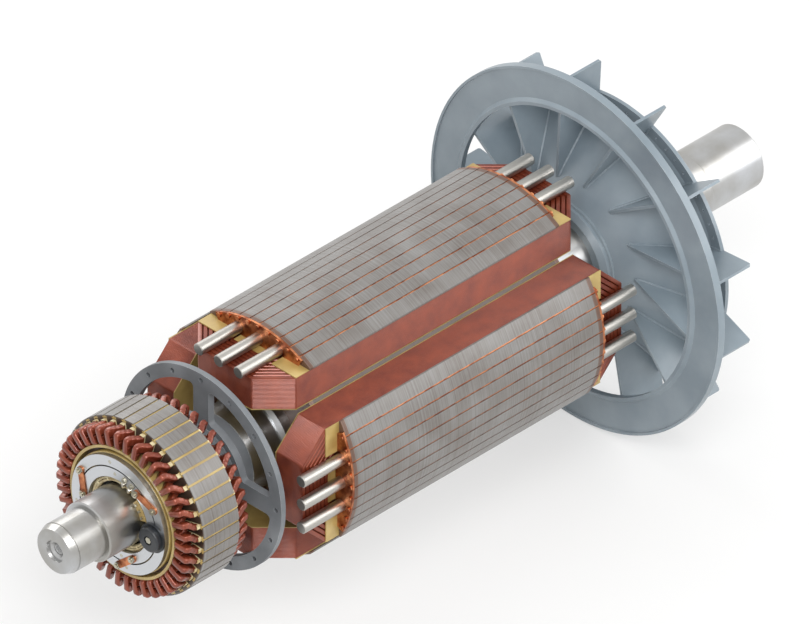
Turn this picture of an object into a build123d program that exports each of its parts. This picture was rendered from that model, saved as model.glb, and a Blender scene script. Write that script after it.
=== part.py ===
import os
from math import atan2, cos, degrees, radians, sin, sqrt

from build123d import *

os.makedirs("parts", exist_ok=True)

# Frame: the shaft lies along X, +X leaves at the drive end and +Z is up.
# The origin is the middle of the drive end bearing seat, on the shaft axis.

# Shaft, all lengths and radii in millimetres
drive_seat_r = 70.0
drive_seat_length = 146.0
drive_end_chamfer = 4.0
drive_seal_r = 77.0
drive_seal_length = 182.0
fan_seat_r = 85.0
fan_seat_length = 177.0
body_r = 95.0
body_length = 953.0
disc_seat_r = 85.0
disc_seat_length = 112.0
exciter_seat_r = 65.0
exciter_seat_length = 250.5
front_seat_r = 55.0
front_seat_length = 72.0
front_band_r = 54.0
front_band_length = 3.5
front_end_chamfer = 13.5
front_chamfer_depth = 6.5
shoulder_chamfer = 3.0
centre_recess_r = 24.0
centre_recess_depth = 6.0
centre_recess_taper = 2.0
centre_cone_depth = 5.0
shaft_thread_r = 12.0
shaft_thread_depth = 50.0

# Laminated four pole core
pole_count = 4
pole_face_r = 263.3
pole_tip_angle = 31.9
pole_body_half_width = 67.0
shoe_underside = 219.5
yoke_half_flat = 141.5
yoke_half_corner = 134.0
core_length = 673.5
core_front_gap = 124.2
core_end_plate_thickness = 10.0
clamp_ring_r = 107.0
clamp_ring_chamfer = 8.0
clamp_ring_length = 29.4
core_key_width = 40.0
core_key_height = 22.0
core_key_length = 600.0

# Damper winding and coil support rods
damper_bars_per_pole = 9
damper_bar_r = 5.2
damper_circle_r = 257.0
damper_pitch_angle = 6.2
damper_slot_opening = 3.0
damper_plate_thickness = 5.0
damper_plate_lip = 2.5
damper_plate_outer_r = 263.0
damper_plate_half_angle = 27.0
damper_bar_overhang = 4.0
rod_r = 12.75
rod_spread = 55.5
rod_overhang = 111.0
rod_end_chamfer = 1.5
rod_seat_gap = 0.25
slide_clearance = 0.2

# Field coils and their insulation
coil_half_width = 136.0
coil_overhang = 93.0
coil_corner = 62.0
coil_inner_corner = 20.0
coil_end_build = 72.5
coil_layers = 7
coil_layer_groove = 1.2
coil_layer_groove_depth = 2.0
outer_washer_thickness = 2.5
inner_washer_thickness = 1.5
pole_wrap_thickness = 1.3
pole_wrap_clearance = 0.2
end_block_clearance = 0.3
end_block_drop = 3.0

# Balance disc
disc_r = 223.6
disc_thickness = 16.0
disc_rear_chamfer = 4.0
disc_boss_r = 97.0
disc_boss_reach = 14.0
disc_hole_r = 5.5
disc_hole_inset = 15.6
disc_hole_count = 16
window_rim_width = 30.0
window_inner_r = 114.0
window_corner_r = 10.0
spoke_half_width = 21.0
disc_front_gap = 49.2
disc_lock_ring_width = 14.0
disc_lock_ring_r = 96.0

# Exciter armature
exciter_r = 195.0
exciter_core_length = 96.0
exciter_core_bore_r = 112.0
exciter_slots = 42
exciter_slot_width = 9.5
exciter_slot_mouth = 5.0
exciter_slot_bottom_r = 144.5
exciter_wedge_thickness = 4.0
exciter_wedge_recess = 2.5
exciter_wedge_lip = 1.5
exciter_bar_width = 8.5
exciter_bar_height = 17.0
exciter_bar_gap = 4.0
exciter_straight_end = 18.0
exciter_leg_length = 13.0
exciter_nose_length = 8.0
exciter_coil_pitch = 1
exciter_core_to_disc = 87.3
press_ring_thickness = 8.0
press_ring_r = 142.0
support_ring_width = 6.0
support_ring_length = 26.0
exciter_sleeve_r = 79.0
exciter_rim_thickness = 14.0
exciter_web_thickness = 18.0
exciter_web_hole_r = 6.5
exciter_web_holes = 6
winding_support_gap = 0.3

# Rotating rectifier
rectifier_front_reach = 45.2
heat_sink_thickness = 12.0
inner_sink_inner_r = 83.5
inner_sink_outer_r = 105.0
outer_sink_inner_r = 108.0
outer_sink_outer_r = 130.0
rectifier_base_thickness = 10.0
rectifier_base_inner_r = 81.0
rectifier_base_outer_r = 132.0
carrier_ring_inner_r = 104.0
carrier_ring_outer_r = 109.5
sink_screw_r = 3.6
sink_screw_clearance = 0.2
inner_screw_angle = 5.0
outer_screw_angle = 11.0
screws_per_sink = 4
diodes_per_sink = 3
inner_diode_angle = 86.0
outer_diode_angle = 61.0
inner_diode_circle_r = 94.3
outer_diode_circle_r = 118.0
diode_stud_r = 4.0
diode_hex_width = 17.0
diode_hex_height = 7.0
diode_case_r = 7.0
diode_case_height = 7.0
diode_hole_clearance = 1.5
diode_nut_width = 13.0
diode_nut_height = 6.0
diode_stud_overhang = 11.0
strap_thickness = 2.5
strap_half_width = 8.0
suppressor_angle = -92.0
suppressor_circle_r = 99.5
suppressor_flange_r = 32.0
suppressor_flange_height = 5.0
suppressor_body_r = 27.0
suppressor_height = 17.0
suppressor_edge_r = 4.0
suppressor_recess_r = 10.0
suppressor_recess_depth = 4.0
suppressor_bolt_width = 13.0
suppressor_bolt_height = 3.0
lead_clamp_angle = -57.0
lead_clamp_half_angle = 17.0
lead_clamp_outer_r = 81.0
lead_clamp_length = 16.0
lead_clamp_screws = 3
lead_clamp_screw_r = 3.0
lead_clamp_screw_height = 4.0
lead_clamp_screw_pitch_angle = 11.0

# Radial fan
fan_hub_front_r = 113.7
fan_hub_r = 123.4
fan_hub_chamfer = 10.6
fan_hub_collar = 31.0
fan_hub_rear_r = 112.0
fan_hub_length = 97.0
fan_cone_start = 22.0
fan_cone_depth = 129.0
fan_rim_inner_r = 285.0
fan_rim_r = 311.0
fan_plate_thickness = 8.5
fan_hole_r = 3.1
fan_hole_circle_r = 297.0
fan_holes_per_blade = 4
fan_hole_pitch_angle = 5.7
fan_hole_phase_angle = 22.9
blade_count = 13
blade_thickness = 6.0
blade_offset = 66.5
blade_phase_angle = 58.3
blade_tip_r = 156.6
blade_to_ring_edge = 17.2
blade_outer_width = 110.0
blade_end_corner = 5.0
fan_ring_to_hub = 42.0
fan_ring_thickness = 6.0
fan_ring_inner_r = 318.5
fan_ring_lip_width = 7.5
fan_ring_lip_height = 6.5
fan_ring_r = 402.0
fan_ring_edge_width = 6.0
fan_ring_edge_height = 3.5
fan_ring_edge_depth = 14.0

# Keys on the smaller seats
small_key_width = 28.0
small_key_height = 16.0
exciter_key_length = 80.0
disc_key_length = 36.0
fan_key_length = 80.0
key_clearance = 0.2

# Stations along the shaft, from the origin towards the front
drive_seat_start = -drive_seat_length / 2
shaft_drive_end = drive_seat_length / 2 + drive_end_chamfer
seal_start = drive_seat_start - drive_seal_length
fan_seat_start = seal_start - fan_seat_length
body_start = fan_seat_start - body_length
disc_seat_start = body_start - disc_seat_length
exciter_seat_start = disc_seat_start - exciter_seat_length
front_seat_start = exciter_seat_start - front_seat_length
front_band_start = front_seat_start - front_band_length
shaft_front_end = front_band_start - front_end_chamfer

core_front = body_start + core_front_gap
core_rear = core_front + core_length
plate_front = core_front - core_end_plate_thickness
plate_rear = core_rear + core_end_plate_thickness
damper_front = plate_front - damper_plate_thickness
damper_rear = plate_rear + damper_plate_thickness
coil_front = damper_front - coil_overhang
coil_rear = damper_rear + coil_overhang
coil_top = shoe_underside - outer_washer_thickness
coil_bottom = yoke_half_flat + inner_washer_thickness
coil_inner_half_width = pole_body_half_width + pole_wrap_thickness + pole_wrap_clearance
rod_radial = coil_top + rod_seat_gap + rod_r
end_block_top = coil_top - end_block_drop
disc_front = body_start - disc_front_gap
exciter_rear = disc_front - exciter_core_to_disc
exciter_front = exciter_rear - exciter_core_length
sink_front = exciter_front - rectifier_front_reach
sink_rear = sink_front + heat_sink_thickness
base_rear = sink_rear + rectifier_base_thickness
ring_front = fan_seat_start + fan_ring_to_hub
ring_back = ring_front + fan_ring_thickness
fan_ring_lip_r = fan_ring_inner_r + fan_ring_lip_width
fan_ring_edge_r = fan_ring_r - fan_ring_edge_width
blade_outer_r = fan_ring_r - blade_to_ring_edge


def turned(points):
    """Solid of revolution about the shaft axis, from (x, radius) points."""
    profile = Plane.XZ * make_face(Polyline(*points, close=True))
    return revolve(profile, Axis.X)


def tube(start, end, outer_r, inner_r):
    """Plain ring about the shaft axis."""
    return turned([(start, inner_r), (start, outer_r), (end, outer_r), (end, inner_r)])


def across(section, start, end):
    """Prism along the shaft of a section drawn across it."""
    return extrude(Plane.YZ.offset(start) * section, end - start)


def around(solid, count, first_angle=0.0):
    """Copies of a solid, evenly spaced about the shaft axis."""
    return [Rot(first_angle + 360 * i / count, 0, 0) * solid for i in range(count)]


def box_between(x0, x1, y0, y1, z0, z1):
    """Block between two corners."""
    middle = Pos((x0 + x1) / 2, (y0 + y1) / 2, (z0 + z1) / 2)
    return middle * Box(x1 - x0, y1 - y0, z1 - z0)


def save(name, solids):
    """Write one named piece, or one group of equal pieces."""
    if isinstance(solids, list):
        shape = Compound(children=solids)
    else:
        shape = solids
    shape.label = name
    export_step(shape, f"parts/{name}.step")


def polar(radius, angle):
    """Point across the shaft, the angle from +Z towards +Y."""
    return (radius * sin(radians(angle)), radius * cos(radians(angle)))


# Keys: each lies half in the shaft and half in what it drives
def key(start, length, seat_r, width, height):
    """Parallel key on top of a seat."""
    low = seat_r - 0.6 * height
    return box_between(start, start + length, -width / 2, width / 2, low, low + height)


def key_slot(start, end, seat_r, width, height):
    """Room for a key, with its clearance."""
    half = width / 2 + key_clearance
    low = seat_r - 0.6 * height - key_clearance
    return box_between(start, end, -half, half, low, low + height + 2 * key_clearance)


exciter_key_start = exciter_front + (exciter_core_length - exciter_key_length) / 2
disc_boss_start = disc_front - disc_boss_reach
disc_hole_circle_r = disc_r - disc_hole_inset
window_outer_r = disc_r - window_rim_width
disc_boss_length = body_start - disc_boss_start
disc_key_start = disc_boss_start + (disc_boss_length - disc_key_length) / 2
core_key_start = core_front + (core_length - core_key_length) / 2
fan_key_start = fan_seat_start + (fan_hub_length - fan_key_length) / 2


# Shaft: one forging, turned to its seats, with a centre thread at the front
def make_shaft():
    """Stepped shaft with four key seats."""
    body = turned([
        (shaft_front_end, 0),
        (shaft_front_end, front_seat_r - front_chamfer_depth),
        (front_band_start, front_band_r),
        (front_seat_start, front_band_r),
        (front_seat_start, front_seat_r),
        (exciter_seat_start, front_seat_r),
        (exciter_seat_start, exciter_seat_r - shoulder_chamfer),
        (exciter_seat_start + shoulder_chamfer, exciter_seat_r),
        (disc_seat_start, exciter_seat_r),
        (disc_seat_start, disc_seat_r - shoulder_chamfer),
        (disc_seat_start + shoulder_chamfer, disc_seat_r),
        (body_start, disc_seat_r),
        (body_start, body_r - shoulder_chamfer),
        (body_start + shoulder_chamfer, body_r),
        (fan_seat_start, body_r),
        (fan_seat_start, fan_seat_r),
        (seal_start - shoulder_chamfer, fan_seat_r),
        (seal_start, fan_seat_r - shoulder_chamfer),
        (seal_start, drive_seal_r),
        (drive_seat_start - shoulder_chamfer, drive_seal_r),
        (drive_seat_start, drive_seal_r - shoulder_chamfer),
        (drive_seat_start, drive_seat_r),
        (drive_seat_length / 2, drive_seat_r),
        (shaft_drive_end, drive_seat_r - drive_end_chamfer),
        (shaft_drive_end, 0),
    ])
    recess_end = shaft_front_end + centre_recess_depth
    thread_start = recess_end + centre_cone_depth
    body -= turned([
        (shaft_front_end, 0),
        (shaft_front_end, centre_recess_r),
        (recess_end, centre_recess_r - centre_recess_taper),
        (recess_end, shaft_thread_r + centre_cone_depth),
        (thread_start, shaft_thread_r),
        (thread_start + shaft_thread_depth, shaft_thread_r),
        (thread_start + shaft_thread_depth, 0),
    ])
    body -= key_slot(exciter_key_start, exciter_key_start + exciter_key_length,
                     exciter_seat_r, small_key_width, small_key_height)
    body -= key_slot(disc_key_start, disc_key_start + disc_key_length,
                     disc_seat_r, small_key_width, small_key_height)
    body -= key_slot(core_key_start, core_key_start + core_key_length,
                     body_r, core_key_width, core_key_height)
    body -= key_slot(fan_key_start, fan_key_start + fan_key_length,
                     fan_seat_r, small_key_width, small_key_height)
    return body


# Core: poles and yoke are punched as one sheet, with damper slots and rod holes
def bar_angles():
    """Angles of the damper bars of one pole, from its middle."""
    first = -damper_pitch_angle * (damper_bars_per_pole - 1) / 2
    return [first + damper_pitch_angle * i for i in range(damper_bars_per_pole)]


def rod_places():
    """Places of the three coil support rods across the top pole."""
    return [(-rod_spread, rod_radial), (0, rod_radial), (rod_spread, rod_radial)]


def pole_section():
    """Section of the top pole, from the axis to its face."""
    half_tip = pole_face_r * sin(radians(pole_tip_angle))
    shoe_height = pole_face_r - shoe_underside
    shoe = Circle(pole_face_r) & Pos(0, shoe_underside + shoe_height / 2) * Rectangle(
        2 * half_tip, shoe_height)
    body = Pos(0, shoe_underside / 2) * Rectangle(2 * pole_body_half_width, shoe_underside)
    section = shoe + body
    slot_length = pole_face_r - damper_circle_r + 1
    for angle in bar_angles():
        hole = Pos(0, damper_circle_r) * Circle(damper_bar_r + slide_clearance)
        mouth = Pos(0, damper_circle_r + slot_length / 2) * Rectangle(
            damper_slot_opening, slot_length)
        section -= Rot(0, 0, angle) * (hole + mouth)
    for y, z in rod_places():
        section -= Pos(y, z) * Circle(rod_r + slide_clearance)
    return section


def core_section():
    """Section of the whole punched sheet."""
    flat = yoke_half_flat
    corner = yoke_half_corner
    yoke = make_face(Polyline(
        (flat, corner), (corner, flat), (-corner, flat), (-flat, corner),
        (-flat, -corner), (-corner, -flat), (corner, -flat), (flat, -corner), close=True))
    pole = pole_section()
    section = yoke
    for i in range(pole_count):
        section += Rot(0, 0, 360 * i / pole_count) * pole
    return section - Circle(body_r)


def make_core():
    """Laminations and the two thick end sheets."""
    section = core_section()
    slot = key_slot(plate_front - 1, plate_rear + 1, body_r, core_key_width, core_key_height)
    save("core_laminations", across(section, core_front, core_rear) - slot)
    save("front_core_end_plate", across(section, plate_front, core_front) - slot)
    save("rear_core_end_plate", across(section, core_rear, plate_rear) - slot)


def make_clamp_rings():
    """Rings that hold the core on the shaft, chamfered on their free side."""
    front = turned([
        (plate_front - clamp_ring_length, body_r),
        (plate_front - clamp_ring_length, clamp_ring_r - clamp_ring_chamfer),
        (plate_front - clamp_ring_length + clamp_ring_chamfer, clamp_ring_r),
        (plate_front, clamp_ring_r),
        (plate_front, body_r),
    ])
    rear = turned([
        (plate_rear, body_r),
        (plate_rear, clamp_ring_r),
        (plate_rear + clamp_ring_length - clamp_ring_chamfer, clamp_ring_r),
        (plate_rear + clamp_ring_length, clamp_ring_r - clamp_ring_chamfer),
        (plate_rear + clamp_ring_length, body_r),
    ])
    save("front_clamp_ring", front)
    save("rear_clamp_ring", rear)


# Damper cage: bars in the pole faces, joined by a copper strip at each pole end
def make_damper():
    """Bars and end strips of all poles."""
    length = damper_rear - damper_front + 2 * damper_bar_overhang
    middle = (damper_front + damper_rear) / 2
    bars = []
    for i in range(pole_count):
        for angle in bar_angles():
            y, z = polar(damper_circle_r, angle + 360 * i / pole_count)
            bars.append(Pos(middle, y, z) * Rot(0, 90, 0) * Cylinder(damper_bar_r, length))
    save("damper_bars", bars)
    half = damper_plate_half_angle
    reach = 1.2 * pole_face_r
    wedge = make_face(Polyline(
        (0, 0), polar(reach, -half), (0, 1.2 * reach), polar(reach, half), close=True))
    above_coil = Pos(0, shoe_underside + reach) * Rectangle(2 * reach, 2 * reach)
    lip_height = shoe_underside - coil_top + damper_plate_lip
    lip = Pos(0, shoe_underside - lip_height / 2) * Rectangle(2 * pole_body_half_width, lip_height)
    strip = Circle(damper_plate_outer_r) & wedge & (above_coil + lip)
    for angle in bar_angles():
        strip -= Pos(*polar(damper_circle_r, angle)) * Circle(damper_bar_r + slide_clearance)
    for y, z in rod_places():
        strip -= Pos(y, z) * Circle(rod_r + slide_clearance)
    front = across(strip, damper_front, plate_front)
    rear = across(strip, plate_rear, damper_rear)
    save("front_damper_plates", around(front, pole_count))
    save("rear_damper_plates", around(rear, pole_count))


def make_rods():
    """Three through rods in each pole, which hold the coil ends down."""
    start = damper_front - rod_overhang
    length = damper_rear - damper_front + 2 * rod_overhang
    rod = Rot(0, 90, 0) * Cylinder(rod_r, length)
    rod = chamfer(rod.edges().filter_by(GeomType.CIRCLE), rod_end_chamfer)
    rods = [Pos(start + length / 2, y, z) * rod for y, z in rod_places()]
    copies = []
    for each in rods:
        copies += around(each, pole_count)
    save("coil_support_rods", copies)


# Field coils: flat wound frames with cut corners, between two insulating washers
def frame_outline(x0, x1, half_width, corner):
    """Plan of a frame with cut corners."""
    return make_face(Polyline(
        (x0 + corner, -half_width), (x1 - corner, -half_width), (x1, corner - half_width),
        (x1, half_width - corner), (x1 - corner, half_width), (x0 + corner, half_width),
        (x0, half_width - corner), (x0, corner - half_width), close=True))


def coil_frame(low, high):
    """Frame of the coil's plan between two heights on the top pole."""
    outer = frame_outline(coil_front, coil_rear, coil_half_width, coil_corner)
    inner = frame_outline(coil_front + coil_end_build, coil_rear - coil_end_build,
                          coil_inner_half_width, coil_inner_corner)
    return extrude(Plane.XY.offset(low) * (outer - inner), high - low)


def make_field_coils():
    """Four wound coils with their layers marked at the top, washers and wraps."""
    coil = coil_frame(coil_bottom, coil_top)
    side_build = coil_half_width - coil_inner_half_width
    for i in range(1, coil_layers):
        share = i / coil_layers
        corner = coil_corner + share * (coil_inner_corner - coil_corner)
        step_x = share * coil_end_build
        step_y = share * side_build
        groove = coil_layer_groove
        outer = frame_outline(coil_front + step_x, coil_rear - step_x,
                              coil_half_width - step_y, corner)
        inner = frame_outline(coil_front + step_x + groove, coil_rear - step_x - groove,
                              coil_half_width - step_y - groove, corner - 0.4 * groove)
        ring = Plane.XY.offset(coil_top - coil_layer_groove_depth) * (outer - inner)
        coil -= extrude(ring, coil_layer_groove_depth)
    under_shoe = []
    for side in (-1, 1):
        low = min(side * coil_inner_half_width, side * coil_half_width)
        high = max(side * coil_inner_half_width, side * coil_half_width)
        under_shoe.append(box_between(coil_front + coil_corner, coil_rear - coil_corner,
                                      low, high, coil_top, shoe_underside))
    inner_washer = coil_frame(yoke_half_flat, coil_bottom)
    wrap_half = pole_body_half_width + pole_wrap_thickness
    wraps = []
    for side in (-1, 1):
        low = min(side * pole_body_half_width, side * wrap_half)
        high = max(side * pole_body_half_width, side * wrap_half)
        wraps.append(box_between(plate_front, plate_rear, low, high,
                                 coil_bottom, coil_top))
    names = ["top", "right", "bottom", "left"]
    for i in range(pole_count):
        turn = Rot(360 * i / pole_count, 0, 0)
        save(f"field_coil_{names[i]}", turn * coil)
        save(f"outer_coil_washer_{names[i]}", [turn * strip for strip in under_shoe])
        save(f"inner_coil_washer_{names[i]}", turn * inner_washer)
        save(f"pole_insulation_{names[i]}", [turn * wrap for wrap in wraps])


def make_end_blocks():
    """Insulating blocks between the pole ends and the coil ends."""
    half = coil_inner_half_width - coil_inner_corner
    front = box_between(coil_front + coil_end_build + end_block_clearance, plate_front,
                        -half, half, yoke_half_flat, end_block_top)
    rear = box_between(plate_rear, coil_rear - coil_end_build - end_block_clearance,
                       -half, half, yoke_half_flat, end_block_top)
    save("front_end_blocks", around(front, pole_count))
    save("rear_end_blocks", around(rear, pole_count))


# Balance disc: a plate on a boss, with four windows and a circle of weight holes
def make_disc():
    """Windowed disc and the ring that locks it on its seat."""
    ring = Circle(window_outer_r) - Circle(window_inner_r)
    cross = Rectangle(2 * spoke_half_width, 3 * disc_r)
    cross += Rectangle(3 * disc_r, 2 * spoke_half_width)
    windows = ring - cross
    rounded = fillet(windows.vertices(), window_corner_r)
    plate = Circle(disc_r) - Circle(disc_seat_r) - rounded
    for i in range(disc_hole_count):
        place = polar(disc_hole_circle_r, 360 * i / disc_hole_count)
        plate -= Pos(*place) * Circle(disc_hole_r)
    disc_rear = disc_front + disc_thickness
    disc = across(plate, disc_front, disc_rear)
    disc -= turned([
        (disc_rear - disc_rear_chamfer, disc_r),
        (disc_rear, disc_r - disc_rear_chamfer),
        (disc_rear, disc_r + disc_rear_chamfer),
        (disc_rear - disc_rear_chamfer, disc_r + disc_rear_chamfer),
    ])
    disc += tube(disc_boss_start, disc_boss_start + disc_boss_length, disc_boss_r, disc_seat_r)
    disc -= key_slot(disc_boss_start - 1, disc_boss_start + disc_boss_length + 1,
                     disc_seat_r, small_key_width, small_key_height)
    save("balance_disc", disc)
    lock_start = disc_boss_start - disc_lock_ring_width
    save("disc_lock_ring", tube(lock_start, disc_boss_start, disc_lock_ring_r, disc_seat_r))


# Exciter armature: a small laminated core with a two layer winding
exciter_pitch = 360 / exciter_slots
lower_bar_r = exciter_slot_bottom_r + 1.5
upper_bar_r = lower_bar_r + exciter_bar_height + exciter_bar_gap
wedge_top_r = exciter_r - exciter_wedge_recess
wedge_bottom_r = wedge_top_r - exciter_wedge_thickness


def make_exciter_core():
    """Slotted core, its press rings, wedges and hub."""
    section = Circle(exciter_r) - Circle(exciter_core_bore_r)
    slot_height = wedge_top_r - exciter_slot_bottom_r
    slot = Pos(0, exciter_slot_bottom_r + slot_height / 2) * Rectangle(
        exciter_slot_width, slot_height)
    mouth_height = 2 * exciter_wedge_recess
    slot += Pos(0, wedge_top_r + mouth_height / 2) * Rectangle(exciter_slot_mouth, mouth_height)
    lip_width = exciter_slot_width + 2 * exciter_wedge_lip
    slot += Pos(0, (wedge_top_r + wedge_bottom_r) / 2) * Rectangle(
        lip_width, exciter_wedge_thickness)
    slots = [Rot(0, 0, exciter_pitch * i) * slot for i in range(exciter_slots)]
    section -= slots
    save("exciter_core", across(section, exciter_front, exciter_rear))
    wedge = box_between(exciter_front, exciter_rear, -lip_width / 2, lip_width / 2,
                        wedge_bottom_r, wedge_top_r)
    save("exciter_slot_wedges", around(wedge, exciter_slots))
    save("exciter_front_press_ring", tube(exciter_front - press_ring_thickness, exciter_front,
                                          press_ring_r, exciter_core_bore_r))
    save("exciter_rear_press_ring", tube(exciter_rear, exciter_rear + press_ring_thickness,
                                         press_ring_r, exciter_core_bore_r))
    support_r = lower_bar_r - winding_support_gap
    front_start = exciter_front - press_ring_thickness
    rear_start = exciter_rear + press_ring_thickness
    save("front_winding_support_ring", tube(front_start - support_ring_length, front_start,
                                            support_r, support_r - support_ring_width))
    save("rear_winding_support_ring", tube(rear_start, rear_start + support_ring_length,
                                           support_r, support_r - support_ring_width))


def make_exciter_hub():
    """Hub with a sleeve on the shaft, a holed web and a rim under the core."""
    rim_inner_r = exciter_core_bore_r - exciter_rim_thickness
    web_start = (exciter_front + exciter_rear - exciter_web_thickness) / 2
    web_end = web_start + exciter_web_thickness
    front = exciter_front - press_ring_thickness
    rear = exciter_rear + press_ring_thickness
    hub = turned([
        (front, exciter_seat_r),
        (front, exciter_sleeve_r),
        (web_start, exciter_sleeve_r),
        (web_start, rim_inner_r),
        (front, rim_inner_r),
        (front, exciter_core_bore_r),
        (rear, exciter_core_bore_r),
        (rear, rim_inner_r),
        (web_end, rim_inner_r),
        (web_end, exciter_sleeve_r),
        (rear, exciter_sleeve_r),
        (rear, exciter_seat_r),
    ])
    hub -= key_slot(front - 1, rear + 1, exciter_seat_r, small_key_width, small_key_height)
    for i in range(exciter_web_holes):
        place = polar((exciter_sleeve_r + rim_inner_r) / 2, 360 * (i + 0.5) / exciter_web_holes)
        hub -= round_post(web_start, web_end, exciter_web_hole_r, place)
    save("exciter_hub", hub)


def skew_leg(start_x, end_x, low_r, start_angle, end_angle):
    """Slanting conductor of an end turn, between two places on one radius."""
    middle_angle = (start_angle + end_angle) / 2
    half_turn = radians(end_angle - start_angle) / 2
    middle_r = low_r + exciter_bar_height / 2
    shift = middle_r * sin(half_turn)
    slant = atan2(2 * abs(shift), abs(end_x - start_x))
    half = exciter_bar_width / 2 / cos(slant)
    plan = make_face(Polyline(
        (start_x, -shift - half), (start_x, -shift + half),
        (end_x, shift + half), (end_x, shift - half), close=True))
    leg = extrude(Plane.XY.offset(low_r) * plan, exciter_bar_height)
    return Rot(-middle_angle, 0, 0) * leg


def nose(start_x, end_x, angle):
    """Rounded loop that joins the upper and the lower conductor."""
    top_r = upper_bar_r + exciter_bar_height
    corner = abs(end_x - start_x) * 0.95
    plan = make_face(Polyline(
        (start_x, lower_bar_r), (end_x, lower_bar_r), (end_x, top_r), (start_x, top_r), close=True))
    far = [v for v in plan.vertices() if abs(v.X - end_x) < 0.01]
    plan = fillet(far, corner)
    loop = extrude(Plane.XZ * plan, exciter_bar_width / 2 * 1.25, both=True)
    return Rot(-angle, 0, 0) * loop


def make_exciter_winding():
    """Closed coils, each through two neighbouring slots."""
    half_pitch = exciter_coil_pitch * exciter_pitch / 2
    front = exciter_front - exciter_straight_end
    rear = exciter_rear + exciter_straight_end
    front_turn = front - exciter_leg_length
    rear_turn = rear + exciter_leg_length
    half = exciter_bar_width / 2
    upper = box_between(front - 2, rear + 2, -half, half,
                        upper_bar_r, upper_bar_r + exciter_bar_height)
    lower = box_between(front - 2, rear + 2, -half, half,
                        lower_bar_r, lower_bar_r + exciter_bar_height)
    coil = Rot(half_pitch, 0, 0) * upper + Rot(-half_pitch, 0, 0) * lower
    coil += skew_leg(front, front_turn, upper_bar_r, -half_pitch, 0)
    coil += skew_leg(front, front_turn, lower_bar_r, half_pitch, 0)
    coil += skew_leg(rear, rear_turn, upper_bar_r, -half_pitch, 0)
    coil += skew_leg(rear, rear_turn, lower_bar_r, half_pitch, 0)
    coil += nose(front_turn, front_turn - exciter_nose_length, 0)
    coil += nose(rear_turn, rear_turn + exciter_nose_length, 0)
    save("exciter_winding", around(coil, exciter_slots, exciter_pitch / 2))


# Rectifier: two ring heat sinks on an insulating base, with three diodes each
def hexagon_post(x0, x1, width, place):
    """Six sided post along the shaft direction."""
    flat = RegularPolygon(width / 2, 6, major_radius=False)
    return across(Pos(*place) * flat, x0, x1)


def round_post(x0, x1, radius, place):
    """Round post along the shaft direction."""
    return across(Pos(*place) * Circle(radius), x0, x1)


def diode_places(circle_r, first_angle):
    """Places of the diodes of one heat sink."""
    return [polar(circle_r, first_angle + 360 * i / diodes_per_sink) for i in range(diodes_per_sink)]


def screw_places(circle_r, first_angle):
    """Places of the screws of one heat sink."""
    return [polar(circle_r, first_angle + 360 * i / screws_per_sink) for i in range(screws_per_sink)]


def heat_sink(inner_r, outer_r, diodes, screws):
    """Flat aluminium ring with holes for its diodes and screws."""
    section = Circle(outer_r) - Circle(inner_r)
    for place in diodes:
        section -= Pos(*place) * Circle(diode_stud_r + slide_clearance)
    for place in screws:
        section -= Pos(*place) * Circle(sink_screw_r + sink_screw_clearance)
    return across(section, sink_front, sink_rear)


def diode(place):
    """Stud diode behind its heat sink, with the stud through to the front."""
    hex_end = sink_rear + diode_hex_height
    whole = hexagon_post(sink_rear, hex_end, diode_hex_width, place)
    whole += round_post(hex_end, hex_end + diode_case_height, diode_case_r, place)
    whole += round_post(sink_front - diode_stud_overhang, sink_rear, diode_stud_r, place)
    return whole


def make_rectifier():
    """Heat sinks, base, diodes with their nuts and straps, and the screws."""
    inner_diodes = diode_places(inner_diode_circle_r, inner_diode_angle)
    outer_diodes = diode_places(outer_diode_circle_r, outer_diode_angle)
    inner_screws = screw_places(inner_diode_circle_r, inner_screw_angle)
    outer_screws = screw_places(outer_diode_circle_r, outer_screw_angle)
    save("rectifier_inner_sink", heat_sink(inner_sink_inner_r, inner_sink_outer_r,
                                           inner_diodes, inner_screws))
    save("rectifier_outer_sink", heat_sink(outer_sink_inner_r, outer_sink_outer_r,
                                           outer_diodes, outer_screws))
    save("inner_sink_diodes", [diode(place) for place in inner_diodes])
    save("outer_sink_diodes", [diode(place) for place in outer_diodes])
    base = Circle(rectifier_base_outer_r) - Circle(rectifier_base_inner_r)
    for place in inner_diodes + outer_diodes:
        base -= Pos(*place) * Circle(diode_hex_width / sqrt(3) + diode_hole_clearance)
    for place in inner_screws + outer_screws:
        base -= Pos(*place) * Circle(sink_screw_r + sink_screw_clearance)
    save("rectifier_base", across(base, sink_rear, base_rear))
    screws = [round_post(sink_front, base_rear, sink_screw_r, place)
              for place in inner_screws + outer_screws]
    save("sink_screws", screws)
    hub_front = exciter_front - press_ring_thickness
    save("rectifier_carrier_ring", tube(base_rear, hub_front,
                                        carrier_ring_outer_r, carrier_ring_inner_r))
    strap_front = sink_front - strap_thickness
    straps = []
    for inner, outer in zip(inner_diodes, outer_diodes):
        line = Edge.make_line((*inner, 0), (*outer, 0))
        reach = line.length
        middle = line.position_at(0.5)
        tilt = degrees(atan2(outer[1] - inner[1], outer[0] - inner[0]))
        plan = SlotCenterToCenter(reach, 2 * strap_half_width)
        strap = Pos(middle.X, middle.Y) * Rot(0, 0, tilt) * plan
        for place in (inner, outer):
            strap -= Pos(*place) * Circle(diode_stud_r + slide_clearance)
        straps.append(across(strap, strap_front, sink_front))
    save("phase_straps", straps)
    nuts = []
    for place in inner_diodes + outer_diodes:
        nut = hexagon_post(strap_front - diode_nut_height, strap_front, diode_nut_width, place)
        nuts.append(nut - round_post(strap_front - diode_nut_height, strap_front,
                                     diode_stud_r + slide_clearance, place))
    save("diode_nuts", nuts)


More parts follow.
